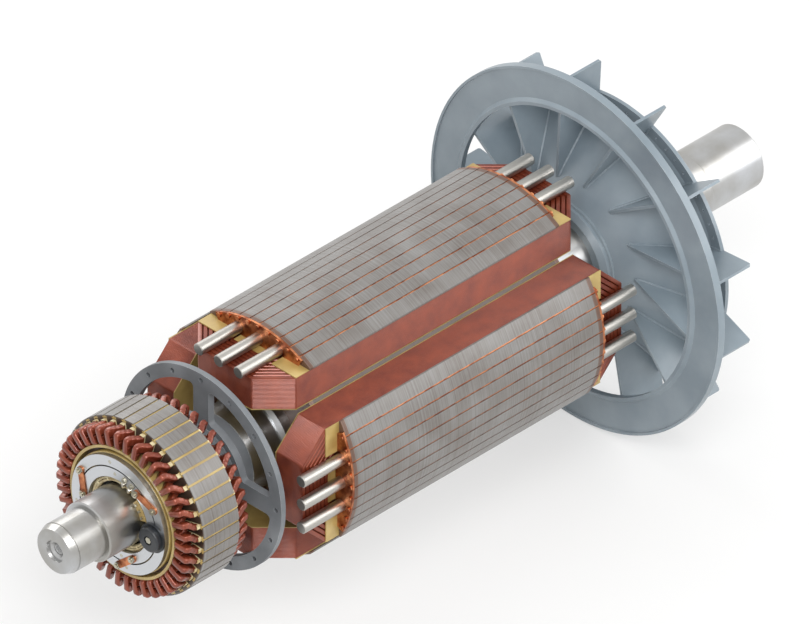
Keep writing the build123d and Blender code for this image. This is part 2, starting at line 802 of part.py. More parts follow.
def make_suppressor():
    """Round surge suppressor on the heat sinks, with its centre bolt."""
    place = polar(suppressor_circle_r, suppressor_angle)
    body_front = sink_front - suppressor_height
    flange_front = sink_front - suppressor_flange_height
    recess_rear = body_front + suppressor_recess_depth
    body = round_post(body_front, flange_front, suppressor_body_r, (0, 0))
    edge = body.edges().filter_by(GeomType.CIRCLE).sort_by(Axis.X)[0]
    body = fillet(edge, suppressor_edge_r)
    body += round_post(flange_front, sink_front, suppressor_flange_r, (0, 0))
    body -= round_post(body_front, recess_rear, suppressor_recess_r, (0, 0))
    save("surge_suppressor", Pos(0, *place) * body)
    bolt = hexagon_post(recess_rear - suppressor_bolt_height, recess_rear,
                        suppressor_bolt_width, place)
    save("suppressor_bolt", bolt)


def make_lead_clamp():
    """Clamp on the shaft for the leads, with its screws."""
    front = sink_front
    section = Circle(lead_clamp_outer_r) - Circle(exciter_seat_r)
    reach = 2 * lead_clamp_outer_r
    wedge = make_face(Polyline(
        (0, 0), polar(reach, lead_clamp_angle - lead_clamp_half_angle),
        polar(reach, lead_clamp_angle + lead_clamp_half_angle), close=True))
    save("lead_clamp", across(section & wedge, front, front + lead_clamp_length))
    middle_r = (lead_clamp_outer_r + exciter_seat_r) / 2
    screws = []
    for i in range(lead_clamp_screws):
        turn = (i - (lead_clamp_screws - 1) / 2) * lead_clamp_screw_pitch_angle
        place = polar(middle_r, lead_clamp_angle + turn)
        screws.append(round_post(front - lead_clamp_screw_height, front,
                                 lead_clamp_screw_r, place))
    save("lead_clamp_screws", screws)


# Fan: hub, conical back plate, thirteen flat blades and a flat inlet ring
cone_front = fan_seat_start + fan_cone_start
rim_front = cone_front + fan_cone_depth
rim_back = rim_front + fan_plate_thickness


def make_fan_hub():
    """Hub with a chamfered collar that the back plate is welded to."""
    collar_end = fan_seat_start + fan_hub_collar
    hub_end = fan_seat_start + fan_hub_length
    hub = turned([
        (fan_seat_start, fan_seat_r),
        (fan_seat_start, fan_hub_front_r),
        (fan_seat_start + fan_hub_chamfer, fan_hub_r),
        (collar_end, fan_hub_r),
        (collar_end, fan_hub_rear_r),
        (hub_end, fan_hub_rear_r),
        (hub_end, fan_seat_r),
    ])
    hub -= key_slot(fan_seat_start - 1, hub_end + 1, fan_seat_r, small_key_width, small_key_height)
    save("fan_hub", hub)


def make_back_plate():
    """Cone with a flat rim and a circle of balance holes."""
    plate = turned([
        (cone_front, fan_hub_r),
        (rim_front, fan_rim_inner_r),
        (rim_front, fan_rim_r),
        (rim_back, fan_rim_r),
        (rim_back, fan_rim_inner_r),
        (cone_front + fan_plate_thickness, fan_hub_r),
    ])
    for blade in range(blade_count):
        for hole in range(fan_holes_per_blade):
            angle = 360 * blade / blade_count
            angle -= fan_hole_phase_angle + fan_hole_pitch_angle * hole
            place = polar(fan_hole_circle_r, angle)
            plate -= round_post(rim_front, rim_back, fan_hole_r, place)
    save("fan_back_plate", plate)


def make_blades():
    """Flat blades, set off from the radius, between the plate and the ring."""
    inner = sqrt(blade_tip_r ** 2 - blade_offset ** 2)
    outer = sqrt(blade_outer_r ** 2 - blade_offset ** 2)
    back = ring_back + blade_outer_width
    outline = make_face(Polyline(
        (ring_back, inner), (back, inner), (back, outer), (ring_back, outer), close=True))
    corners = [v for v in outline.vertices() if v.Y > outer - 1]
    outline = fillet(corners, blade_end_corner)
    flat = extrude(Plane.XZ.offset(-blade_offset) * outline, blade_thickness / 2, both=True)
    behind = turned([
        (cone_front, 0),
        (cone_front, fan_hub_r),
        (rim_front, fan_rim_inner_r),
        (rim_front, fan_rim_r),
        (back + 1, fan_rim_r),
        (back + 1, 0),
    ])
    blade = flat - behind
    save("fan_blades", around(blade, blade_count, blade_phase_angle))


def make_fan_ring():
    """Inlet ring with a raised lip inside and a stiff edge outside."""
    ring = turned([
        (ring_back, fan_ring_inner_r),
        (ring_front - fan_ring_lip_height, fan_ring_inner_r),
        (ring_front - fan_ring_lip_height, fan_ring_lip_r),
        (ring_front, fan_ring_lip_r + fan_ring_lip_height),
        (ring_front, fan_ring_edge_r),
        (ring_front - fan_ring_edge_height, fan_ring_edge_r + 1),
        (ring_front - fan_ring_edge_height, fan_ring_r),
        (ring_front + fan_ring_edge_depth, fan_ring_r),
        (ring_front + fan_ring_edge_depth, fan_ring_edge_r + 1),
        (ring_back, fan_ring_edge_r + 1),
    ])
    save("fan_front_ring", ring)


save("shaft", make_shaft())
save("exciter_key", key(exciter_key_start, exciter_key_length, exciter_seat_r,
                        small_key_width, small_key_height))
save("disc_key", key(disc_key_start, disc_key_length, disc_seat_r,
                     small_key_width, small_key_height))
save("core_key", key(core_key_start, core_key_length, body_r, core_key_width, core_key_height))
save("fan_key", key(fan_key_start, fan_key_length, fan_seat_r, small_key_width, small_key_height))
make_core()
make_clamp_rings()
make_damper()
make_rods()
make_field_coils()
make_end_blocks()
make_disc()
make_exciter_core()
make_exciter_hub()
make_exciter_winding()
make_rectifier()
make_suppressor()
make_lead_clamp()
make_fan_hub()
make_back_plate()
make_blades()
make_fan_ring()
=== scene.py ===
import math

import bmesh
import bpy
from mathutils import Matrix, Vector


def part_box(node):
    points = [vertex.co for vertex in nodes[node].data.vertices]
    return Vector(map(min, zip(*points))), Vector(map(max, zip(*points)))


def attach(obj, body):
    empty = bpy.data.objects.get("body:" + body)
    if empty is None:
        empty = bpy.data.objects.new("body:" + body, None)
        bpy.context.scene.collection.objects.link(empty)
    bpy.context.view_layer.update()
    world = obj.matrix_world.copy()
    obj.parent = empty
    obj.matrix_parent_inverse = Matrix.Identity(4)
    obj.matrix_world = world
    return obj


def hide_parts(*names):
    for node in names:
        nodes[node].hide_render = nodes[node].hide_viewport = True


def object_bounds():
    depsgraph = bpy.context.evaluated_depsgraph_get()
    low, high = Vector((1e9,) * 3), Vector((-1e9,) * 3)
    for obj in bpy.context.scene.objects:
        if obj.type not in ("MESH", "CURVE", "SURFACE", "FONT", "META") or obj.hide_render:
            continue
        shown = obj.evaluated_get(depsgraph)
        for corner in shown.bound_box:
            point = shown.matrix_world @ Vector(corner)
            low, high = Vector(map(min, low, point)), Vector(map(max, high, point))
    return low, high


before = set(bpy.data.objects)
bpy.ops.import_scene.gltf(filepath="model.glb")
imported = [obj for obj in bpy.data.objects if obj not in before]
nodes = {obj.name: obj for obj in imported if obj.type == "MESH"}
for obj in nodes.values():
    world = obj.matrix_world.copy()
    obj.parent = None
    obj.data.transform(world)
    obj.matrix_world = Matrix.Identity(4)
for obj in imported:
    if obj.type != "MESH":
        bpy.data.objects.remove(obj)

cad_low, cad_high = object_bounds()

# Shaft. One forging of carbon steel, turned all over, with the two bearing
# seats ground finer than the rest. Everything else is pressed on it or keyed.


def colour(code):
    """Linear colour of an sRGB hex code."""
    parts = [int(code[i:i + 2], 16) / 255 for i in (1, 3, 5)]
    linear = [p / 12.92 if p <= 0.04045 else ((p + 0.055) / 1.055) ** 2.4 for p in parts]
    return (*linear, 1.0)


def add(tree, kind, values=None, links=None, **settings):
    """Add one shader node with its settings, socket values and incoming links."""
    made = tree.nodes.new(kind)
    for name, value in settings.items():
        setattr(made, name, value)
    for name, value in (values or {}).items():
        made.inputs[name].default_value = value
    for name, socket in (links or {}).items():
        tree.links.new(socket, made.inputs[name])
    return made


def new_material(name, values):
    """Material with one Principled shader, given its constant values."""
    material = bpy.data.materials.new(name)
    material.use_nodes = True
    shader = material.node_tree.nodes["Principled BSDF"]
    for socket, value in values.items():
        shader.inputs[socket].default_value = value
    return material, material.node_tree, shader


def finish_node(node, material):
    """Give a solid of the frame its material."""
    mesh = nodes[node].data
    mesh.materials.clear()
    mesh.materials.append(material)


# Turned steel: bright, with feed marks round the axis and blotches of old oil.
# A real feed of 0.3 mm is too fine to show, so the marks are drawn 3 mm apart.
feed_pitch = 0.003
oil_blotch = 0.11
turned_steel, tree, shader = new_material("turned_carbon_steel", {
    "Metallic": 1.0, "Roughness": 0.3, "Base Color": colour("#B9BBBD")})
where = add(tree, "ShaderNodeTexCoord").outputs["Object"]
along = add(tree, "ShaderNodeMapping", {"Scale": (1 / feed_pitch, 0.6, 0.6)}, {"Vector": where})
feed = add(tree, "ShaderNodeTexNoise", {"Scale": 1.0, "Detail": 2.0},
           {"Vector": along.outputs["Vector"]})
blotch = add(tree, "ShaderNodeTexNoise", {"Scale": 1 / oil_blotch, "Detail": 4.0}, {"Vector": where})
tint = add(tree, "ShaderNodeValToRGB", {}, {"Fac": blotch.outputs["Fac"]})
tint.color_ramp.elements[0].position = 0.35
tint.color_ramp.elements[0].color = colour("#A3A19C")
tint.color_ramp.elements[1].position = 0.7
tint.color_ramp.elements[1].color = colour("#C2C4C7")
rough = add(tree, "ShaderNodeMapRange", {"To Min": 0.22, "To Max": 0.42}, {"Value": feed.outputs["Fac"]})
marks = add(tree, "ShaderNodeBump", {"Strength": 0.25, "Distance": 0.0003},
            {"Height": feed.outputs["Fac"]})
tree.links.new(tint.outputs["Color"], shader.inputs["Base Color"])
tree.links.new(rough.outputs["Result"], shader.inputs["Roughness"])
tree.links.new(marks.outputs["Normal"], shader.inputs["Normal"])
finish_node("shaft", turned_steel)
for node in ("front_clamp_ring", "rear_clamp_ring", "disc_lock_ring"):
    finish_node(node, turned_steel)


def smooth_by_angle(piece, degrees):
    """Shade smooth, with edges sharper than an angle kept."""
    mesh = piece.data
    mesh.shade_smooth()
    form = bmesh.new()
    form.from_mesh(mesh)
    for edge in form.edges:
        edge.smooth = len(edge.link_faces) == 2 and edge.calc_face_angle() < math.radians(degrees)
    form.to_mesh(mesh)
    form.free()


def new_piece(name, points, faces, material, slot_name, sharp=40):
    """Mesh piece of the rotor, with its material. Its slot name is not used."""
    mesh = bpy.data.meshes.new(name)
    mesh.from_pydata(points, [], faces)
    form = bmesh.new()
    form.from_mesh(mesh)
    bmesh.ops.recalc_face_normals(form, faces=form.faces)
    form.to_mesh(mesh)
    form.free()
    piece = bpy.data.objects.new(name, mesh)
    bpy.context.scene.collection.objects.link(piece)
    mesh.materials.append(material)
    smooth_by_angle(piece, sharp)
    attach(piece, "root")
    return piece


def strip_faces(rows, count, closed):
    """Faces along rings of points, with end caps where the strip isn't closed."""
    faces = []
    for row in range(rows if closed else rows - 1):
        after = (row + 1) % rows
        for i in range(count):
            j = (i + 1) % count
            faces.append((row * count + i, row * count + j, after * count + j, after * count + i))
    if not closed:
        faces.append(tuple(range(count)))
        faces.append(tuple(range((rows - 1) * count, rows * count)))
    return faces


def around_axis(x, radius, angle):
    """Point at a radius from the shaft, the angle from +Z towards +Y."""
    return Vector((x, radius * math.sin(angle), radius * math.cos(angle)))


# Centre thread, M24 with a pitch of 3 mm, cut in the shaft's front centre hole
# for the screw of a puller. Its crests stand in from the hole's plain wall.
thread_pitch = 0.003
thread_flank = 0.48 * thread_pitch
thread_r = 0.0121
thread_crest_r = 0.0104
recess_depth = 0.006
recess_cone = 0.005
thread_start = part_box("shaft")[0].x + recess_depth + recess_cone + 0.0005
thread_turns = 15
steps_per_turn = 28
points = []
for step in range(thread_turns * steps_per_turn + 1):
    x = thread_start + thread_pitch * (0.5 + step / steps_per_turn)
    angle = math.tau * step / steps_per_turn
    points += [around_axis(x - thread_flank, thread_r, angle),
               around_axis(x, thread_crest_r, angle),
               around_axis(x + thread_flank, thread_r, angle)]
new_piece("centre_thread", points, strip_faces(thread_turns * steps_per_turn + 1, 3, False),
          turned_steel, "turned_steel", 25)

# Keys. Drawn key steel, let half into the shaft under each part it drives, and
# duller than the turned shaft. The lines of the drawing die run along each key:
# they are 0.2 mm apart, drawn 2 mm so that they show.
key_line = 0.002
key_steel, tree, shader = new_material("drawn_key_steel", {
    "Metallic": 1.0, "Roughness": 0.38, "Base Color": colour("#A9A8A5")})
where = add(tree, "ShaderNodeTexCoord").outputs["Object"]
drawn = add(tree, "ShaderNodeMapping", {"Scale": (4.0, 1 / key_line, 1 / key_line)}, {"Vector": where})
grain = add(tree, "ShaderNodeTexNoise", {"Scale": 1.0, "Detail": 3.0},
            {"Vector": drawn.outputs["Vector"]})
marks = add(tree, "ShaderNodeBump", {"Strength": 0.2, "Distance": 0.0002},
            {"Height": grain.outputs["Fac"]})
tree.links.new(marks.outputs["Normal"], shader.inputs["Normal"])
for node in ("exciter_key", "disc_key", "core_key", "fan_key"):
    finish_node(node, key_steel)

# Core. Punched electrical sheets in one stack, pressed between thick end
# sheets, dipped in varnish and then turned, which bares the pole faces: they
# are grey with fine lines, while the rest keeps a dark brown film.
sheet_line = 0.004
varnish_pool = 0.07
core_turned_r = 0.240


def sheet_stack(name, bare, varnish, roughness, turned_r):
    """Stack of thin sheets: fine lines across the shaft, under thin varnish.

    Inside turned_r nothing was turned, so there the varnish is a dark film.
    """
    material, tree, shader = new_material(name, {"Metallic": 0.35, "Coat Weight": 0.35,
                                                 "Coat Roughness": 0.25})
    where = add(tree, "ShaderNodeTexCoord").outputs["Object"]
    # Sheets are 0.5 mm thick, which is too fine to show, so a line stands for eight
    across = add(tree, "ShaderNodeMapping", {"Scale": (1 / sheet_line, 0.4, 0.4)}, {"Vector": where})
    lines = add(tree, "ShaderNodeTexNoise", {"Scale": 1.0, "Detail": 3.0, "Roughness": 0.7},
                {"Vector": across.outputs["Vector"]})
    pools = add(tree, "ShaderNodeTexNoise", {"Scale": 1 / varnish_pool, "Detail": 5.0},
                {"Vector": where})
    mixed = add(tree, "ShaderNodeMix", {"Factor": 0.4}, data_type="FLOAT")
    tree.links.new(lines.outputs["Fac"], mixed.inputs["A"])
    tree.links.new(pools.outputs["Fac"], mixed.inputs["B"])
    ramp = add(tree, "ShaderNodeValToRGB", {}, {"Fac": mixed.outputs["Result"]})
    ramp.color_ramp.elements[0].position = 0.36
    ramp.color_ramp.elements[0].color = colour(varnish)
    ramp.color_ramp.elements[1].position = 0.66
    ramp.color_ramp.elements[1].color = colour(bare)
    rough = add(tree, "ShaderNodeMapRange", {"To Min": roughness - 0.08, "To Max": roughness + 0.12},
                {"Value": pools.outputs["Fac"]})
    relief = add(tree, "ShaderNodeBump", {"Strength": 0.5, "Distance": 0.0004},
                 {"Height": lines.outputs["Fac"]})
    flat = add(tree, "ShaderNodeMapping", {"Scale": (0.0, 1.0, 1.0)}, {"Vector": where})
    off_axis = add(tree, "ShaderNodeVectorMath", {}, {0: flat.outputs["Vector"]}, operation="LENGTH")
    turned = add(tree, "ShaderNodeMapRange", {"From Min": turned_r - 0.002, "From Max": turned_r},
                 {"Value": off_axis.outputs["Value"]})
    film = add(tree, "ShaderNodeValToRGB", {}, {"Fac": pools.outputs["Fac"]})
    film.color_ramp.elements[0].position = 0.35
    film.color_ramp.elements[0].color = colour("#3E322B")
    film.color_ramp.elements[1].position = 0.7
    film.color_ramp.elements[1].color = colour("#55463C")
    # Inputs 6 and 7 and output 2 of this node are its colours
    surface = add(tree, "ShaderNodeMix", {},
                  {"Factor": turned.outputs["Result"], 6: film.outputs["Color"], 7: ramp.outputs["Color"]},
                  data_type="RGBA")
    tree.links.new(surface.outputs[2], shader.inputs["Base Color"])
    tree.links.new(rough.outputs["Result"], shader.inputs["Roughness"])
    tree.links.new(relief.outputs["Normal"], shader.inputs["Normal"])
    return material


core_sheet = sheet_stack("varnished_electrical_sheet", "#8A8987", "#68615B", 0.42, core_turned_r)
finish_node("core_laminations", core_sheet)
# End sheets are browner under thin varnish, with no dark film outside the shaft
inside_shaft_r = 0.010
end_sheet = sheet_stack("varnished_end_sheet", "#74594A", "#5A4034", 0.45, inside_shaft_r)
for node in ("front_core_end_plate", "rear_core_end_plate"):
    finish_node(node, end_sheet)

# Damper cage. Drawn copper bars in the pole faces, brazed at their ends to
# copper strips that lie against the end sheets. The brazing heat has dulled
# the copper and left darker stains on it, each some 20 mm wide.
heat_stain = 0.02
dull_copper, tree, shader = new_material("brazed_copper", {
    "Metallic": 1.0, "Roughness": 0.35, "Base Color": colour("#C77B52")})
where = add(tree, "ShaderNodeTexCoord").outputs["Object"]
stain = add(tree, "ShaderNodeTexNoise", {"Scale": 1 / heat_stain, "Detail": 4.0}, {"Vector": where})
tint = add(tree, "ShaderNodeValToRGB", {}, {"Fac": stain.outputs["Fac"]})
tint.color_ramp.elements[0].position = 0.38
tint.color_ramp.elements[0].color = colour("#8A4C32")
tint.color_ramp.elements[1].position = 0.62
tint.color_ramp.elements[1].color = colour("#D18A60")
rough = add(tree, "ShaderNodeMapRange", {"To Min": 0.28, "To Max": 0.5}, {"Value": stain.outputs["Fac"]})
tree.links.new(tint.outputs["Color"], shader.inputs["Base Color"])
tree.links.new(rough.outputs["Result"], shader.inputs["Roughness"])
for node in ("damper_bars", "front_damper_plates", "rear_damper_plates"):
    finish_node(node, dull_copper)

# Coil support rods. Drawn steel, three through each pole, with the ends
# chamfered. They stand over the coil ends and hold them against the spin. Lines
# 0.15 mm apart give them a satin sheen, drawn 1.5 mm so that they show.
rod_line = 0.0015
drawn_steel, tree, shader = new_material("drawn_steel_rod", {
    "Metallic": 1.0, "Roughness": 0.34, "Base Color": colour("#B4B1AB")})
where = add(tree, "ShaderNodeTexCoord").outputs["Object"]
drawn = add(tree, "ShaderNodeMapping", {"Scale": (3.0, 1 / rod_line, 1 / rod_line)}, {"Vector": where})
grain = add(tree, "ShaderNodeTexNoise", {"Scale": 1.0, "Detail": 3.0},
            {"Vector": drawn.outputs["Vector"]})
rough = add(tree, "ShaderNodeMapRange", {"To Min": 0.24, "To Max": 0.46}, {"Value": grain.outputs["Fac"]})
marks = add(tree, "ShaderNodeBump", {"Strength": 0.3, "Distance": 0.0002},
            {"Height": grain.outputs["Fac"]})
tree.links.new(rough.outputs["Result"], shader.inputs["Roughness"])
tree.links.new(marks.outputs["Normal"], shader.inputs["Normal"])
finish_node("coil_support_rods", drawn_steel)

# Insulation. Glass cloth and epoxy board under and over each coil, along the
# pole bodies and in the pole ends. The resin is yellow brown and half glossy,
# cloudy over some 50 mm, and the cloth's weave shows through it.
cloth_pitch = 0.002
resin_cloud = 0.05
glass_board, tree, shader = new_material("glass_epoxy_board", {
    "Roughness": 0.42, "IOR": 1.53, "Base Color": colour("#B79B5C"), "Coat Weight": 0.3,
    "Coat Roughness": 0.3})
where = add(tree, "ShaderNodeTexCoord").outputs["Object"]
# Threads are 0.5 mm apart, drawn 2 mm so that they show
cloth = {"Scale": 1 / cloth_pitch / math.tau, "Distortion": 0.6}
weave_x = add(tree, "ShaderNodeTexWave", cloth, {"Vector": where}, bands_direction="X")
weave_y = add(tree, "ShaderNodeTexWave", cloth, {"Vector": where}, bands_direction="DIAGONAL")
weave = add(tree, "ShaderNodeMix", {"Factor": 0.5},
            {"A": weave_x.outputs["Fac"], "B": weave_y.outputs["Fac"]}, data_type="FLOAT")
clouds = add(tree, "ShaderNodeTexNoise", {"Scale": 1 / resin_cloud, "Detail": 4.0}, {"Vector": where})
tint = add(tree, "ShaderNodeValToRGB", {}, {"Fac": clouds.outputs["Fac"]})
tint.color_ramp.elements[0].position = 0.3
tint.color_ramp.elements[0].color = colour("#A0854B")
tint.color_ramp.elements[1].position = 0.7
tint.color_ramp.elements[1].color = colour("#C2A969")
relief = add(tree, "ShaderNodeBump", {"Strength": 0.2, "Distance": 0.0002},
             {"Height": weave.outputs["Result"]})
tree.links.new(tint.outputs["Color"], shader.inputs["Base Color"])
tree.links.new(relief.outputs["Normal"], shader.inputs["Normal"])
sides = ("top", "right", "bottom", "left")
for side in sides:
    finish_node(f"outer_coil_washer_{side}", glass_board)
    finish_node(f"inner_coil_washer_{side}", glass_board)
    finish_node(f"pole_insulation_{side}", glass_board)
for node in ("front_end_blocks", "rear_end_blocks", "front_winding_support_ring",
             "rear_winding_support_ring", "rectifier_base", "exciter_slot_wedges", "lead_clamp"):
    finish_node(node, glass_board)

# Field coils. Flat copper strip wound on edge in seven layers round each
# pole, each turn a thin ridge, then dipped in red brown insulating varnish.
# Layers show as grooves at the coil's ends, and the corners are cut at 45 degrees.
low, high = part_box("field_coil_top")
coil_start = low.x
coil_end = high.x
coil_half = high.y
coil_low = low.z
coil_high = high.z
coil_corner = 0.062
coil_build = 0.0725
coil_layer_count = 7
layer_gap = 0.0016
layer_edge = 0.0014
strip_thickness = 0.0031
ridge_height = 0.0006
corner_radius = 0.009
least_corner_radius = 0.0015
corner_steps = 5


def frame_path(inset):
    """Plan of a coil layer, set in from the outline, with rounded corners."""
    x0 = coil_start + inset
    x1 = coil_end - inset
    half = coil_half - inset
    cut = coil_corner - inset * (2 - math.sqrt(2))
    radius = max(corner_radius - inset, least_corner_radius)
    corners = [(x0 + cut, -half), (x1 - cut, -half), (x1, cut - half), (x1, half - cut),
               (x1 - cut, half), (x0 + cut, half), (x0, half - cut), (x0, cut - half)]
    path = []
    for i, corner in enumerate(corners):
        here = Vector(corner)
        back = (Vector(corners[i - 1]) - here).normalized()
        ahead = (Vector(corners[(i + 1) % 8]) - here).normalized()
        reach = radius * math.tan(math.radians(22.5))
        start = here + back * reach
        end = here + ahead * reach
        for step in range(corner_steps):
            t = step / (corner_steps - 1)
            path.append((1 - t) ** 2 * start + 2 * t * (1 - t) * here + t ** 2 * end)
    return path


def wound_layer(first_inset, last_inset, ridged):
    """Closed ring of one layer: ridged outside by its turns, round at its top."""
    profile = []
    if ridged:
        turns = round((coil_high - coil_low) / strip_thickness)
        pitch = (coil_high - coil_low) / turns
        # A groove under each turn, and then its flat outer edge
        for turn in range(turns):
            base = coil_low + turn * pitch
            profile.append((first_inset + ridge_height, base + 0.05 * pitch))
            profile.append((first_inset, base + 0.25 * pitch))
            profile.append((first_inset, base + 0.8 * pitch))
    else:
        profile.append((first_inset, coil_low))
        profile.append((first_inset, coil_high - layer_edge))
    profile.append((first_inset + layer_edge, coil_high))
    profile.append((last_inset - layer_edge, coil_high))
    profile.append((last_inset, coil_high - layer_edge))
    profile.append((last_inset, coil_low))
    points = []
    for inset, height in profile:
        points += [(p.x, p.y, height) for p in frame_path(inset)]
    count = len(frame_path(0))
    return points, strip_faces(len(profile), count, True)


# Varnished winding: dark red brown, half covering the copper, glossy where it
# pooled. Pools are some 45 mm wide and drips some 12 mm.
coil_pool = 0.045
coil_drip = 0.012
coil_varnish, tree, shader = new_material("varnished_copper_strip", {
    "Metallic": 0.45, "Roughness": 0.36, "Coat Weight": 0.5, "Coat Roughness": 0.18,
    "Coat IOR": 1.5, "Base Color": colour("#7E3420")})
where = add(tree, "ShaderNodeTexCoord").outputs["Object"]
pools = add(tree, "ShaderNodeTexNoise", {"Scale": 1 / coil_pool, "Detail": 5.0, "Roughness": 0.6},
            {"Vector": where})
tint = add(tree, "ShaderNodeValToRGB", {}, {"Fac": pools.outputs["Fac"]})
tint.color_ramp.elements[0].position = 0.32
tint.color_ramp.elements[0].color = colour("#6F2C1B")
tint.color_ramp.elements[1].position = 0.72
tint.color_ramp.elements[1].color = colour("#91442A")
rough = add(tree, "ShaderNodeMapRange", {"To Min": 0.28, "To Max": 0.5}, {"Value": pools.outputs["Fac"]})
drips = add(tree, "ShaderNodeTexNoise", {"Scale": 1 / coil_drip, "Detail": 2.0}, {"Vector": where})
relief = add(tree, "ShaderNodeBump", {"Strength": 0.3, "Distance": 0.0006},
             {"Height": drips.outputs["Fac"]})
tree.links.new(tint.outputs["Color"], shader.inputs["Base Color"])
tree.links.new(rough.outputs["Result"], shader.inputs["Roughness"])
tree.links.new(relief.outputs["Normal"], shader.inputs["Normal"])


def join_pieces(parts):
    """One list of points and faces out of several."""
    points = []
    faces = []
    for some_points, some_faces in parts:
        offset = len(points)
        points += some_points
        faces += [tuple(i + offset for i in face) for face in some_faces]
    return points, faces


layer_step = coil_build / coil_layer_count
layers = []
for layer in range(coil_layer_count):
    first = layer * layer_step
    layers.append(wound_layer(first, first + layer_step - layer_gap, layer == 0))
coil_points, coil_faces = join_pieces(layers)
for turn, side in enumerate(sides):
    spin = Matrix.Rotation(math.radians(90 * turn), 3, "X")
    placed = [spin @ Vector(point) for point in coil_points]
    coil = new_piece(f"wound_coil_{side}", placed, coil_faces, coil_varnish, "coil_varnish", 30)
    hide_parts(f"field_coil_{side}")

# Balance disc. Plate steel, cut to its four windows, drilled for weights and
# welded to a boss, then painted with a thin grey primer.
# Pale edges of painted plates, partly rubbed paint and partly a painted highlight: width of the edge and
# size of its patches
edge_wear_highlight_width = 0.0014
edge_wear_highlight_patch = 0.025


def worn_and_highlit_edges(tree, shader, paint, wear_highlight_colour):
    """Paint that is pale in places along the sharp edges of its plates: rubbed paint and a painted edge
    highlight.
    """
    rounded = add(tree, "ShaderNodeBevel", {"Radius": edge_wear_highlight_width}, samples=6)
    plate = add(tree, "ShaderNodeNewGeometry")
    bend = add(tree, "ShaderNodeVectorMath", {},
               {0: rounded.outputs["Normal"], 1: plate.outputs["Normal"]}, operation="DOT_PRODUCT")
    edge = add(tree, "ShaderNodeMapRange",
               {"From Min": 0.8, "From Max": 0.98, "To Min": 1.0, "To Max": 0.0},
               {"Value": bend.outputs["Value"]})
    spot = add(tree, "ShaderNodeTexCoord").outputs["Object"]
    rubs = add(tree, "ShaderNodeTexNoise", {"Scale": 1 / edge_wear_highlight_patch, "Detail": 4.0},
               {"Vector": spot})
    patch = add(tree, "ShaderNodeMapRange", {"From Min": 0.38, "From Max": 0.6},
                {"Value": rubs.outputs["Fac"]})
    # Pale where the edge mask and the patches meet: rubbed paint and a painted edge highlight
    bare = add(tree, "ShaderNodeMath", {}, {0: edge.outputs["Result"], 1: patch.outputs["Result"]},
               operation="MULTIPLY")
    surface = add(tree, "ShaderNodeMix", {7: colour(wear_highlight_colour)},
                  {"Factor": bare.outputs["Value"], 6: paint}, data_type="RGBA")
    tree.links.new(surface.outputs[2], shader.inputs["Base Color"])


# Primer: flat grey, dusty in patches some 90 mm wide, with a sprayed skin whose dimples are 4 mm apart.
# Its sharp edges are painted pale: partly rubbed by handling, partly a painted highlight.
primer_dimple = 0.004
primer_dust = 0.09
primer_grey, tree, shader = new_material("primer_on_steel", {
    "Roughness": 0.5, "Base Color": colour("#6E7276")})
where = add(tree, "ShaderNodeTexCoord").outputs["Object"]
peel = add(tree, "ShaderNodeTexNoise", {"Scale": 1 / primer_dimple, "Detail": 2.0}, {"Vector": where})
dust = add(tree, "ShaderNodeTexNoise", {"Scale": 1 / primer_dust, "Detail": 6.0}, {"Vector": where})
tint = add(tree, "ShaderNodeValToRGB", {}, {"Fac": dust.outputs["Fac"]})
tint.color_ramp.elements[0].position = 0.35
tint.color_ramp.elements[0].color = colour("#62666A")
tint.color_ramp.elements[1].position = 0.7
tint.color_ramp.elements[1].color = colour("#7C8084")
relief = add(tree, "ShaderNodeBump", {"Strength": 0.15, "Distance": 0.0003},
             {"Height": peel.outputs["Fac"]})
worn_and_highlit_edges(tree, shader, tint.outputs["Color"], "#A9AAAB")
tree.links.new(relief.outputs["Normal"], shader.inputs["Normal"])
for node in ("balance_disc", "exciter_hub"):
    finish_node(node, primer_grey)


def weld(path, radius, closed, seed):
    """Weld bead along a path of points, with the ripple of its passes."""
    sides_of_bead = 7
    fine_ripple = 0.10
    slow_ripple = 0.05
    rows = []
    count = len(path)
    for i, point in enumerate(path):
        if closed:
            before, after = path[i - 1], path[(i + 1) % count]
        else:
            before, after = path[max(i - 1, 0)], path[min(i + 1, count - 1)]
        tangent = (after - before).normalized()
        across_bead = tangent.orthogonal().normalized()
        if abs(tangent.x) < 0.99:
            across_bead = tangent.cross(Vector((1, 0, 0))).normalized()
        up = across_bead.cross(tangent)
        ripple = radius * (1 + fine_ripple * math.sin(1.9 * i + seed)
                           + slow_ripple * math.sin(0.37 * i + 2 * seed))
        for side in range(sides_of_bead):
            turn = math.tau * side / sides_of_bead
            rows.append(point + ripple * (math.cos(turn) * across_bead + math.sin(turn) * up))
    return rows, strip_faces(count, sides_of_bead, closed)


def circle_path(x, radius, count):
    """Points of a circle round the shaft."""
    return [around_axis(x, radius, math.tau * i / count) for i in range(count)]


# Welds of the disc's boss, one fillet of 4 mm on each side of the plate, laid
# in one pass each and painted over. The boss stands out in front of the plate.
boss_r = 0.097
boss_reach = 0.014
disc_thickness = 0.016
boss_weld_leg = 0.004
boss_weld_steps = 220
disc_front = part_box("balance_disc")[0].x + boss_reach
disc_rear = disc_front + disc_thickness
parts = [weld(circle_path(disc_front, boss_r, boss_weld_steps), boss_weld_leg, True, seed=1.0),
         weld(circle_path(disc_rear, boss_r, boss_weld_steps), boss_weld_leg, True, seed=2.0)]
new_piece("disc_boss_welds", *join_pieces(parts), primer_grey, "painted_steel", 50)

# Exciter core. The same kind of punched sheets in a small ring, between two
# press rings, with the slots closed by laminate wedges. Only its outside is
# turned, so its end faces keep the dark film.
exciter_turned_r = 0.1935
exciter_sheet = sheet_stack("varnished_exciter_sheet", "#8A8987", "#68615B", 0.42, exciter_turned_r)
finish_node("exciter_core", exciter_sheet)
for node in ("exciter_front_press_ring", "exciter_rear_press_ring"):
    finish_node(node, end_sheet)

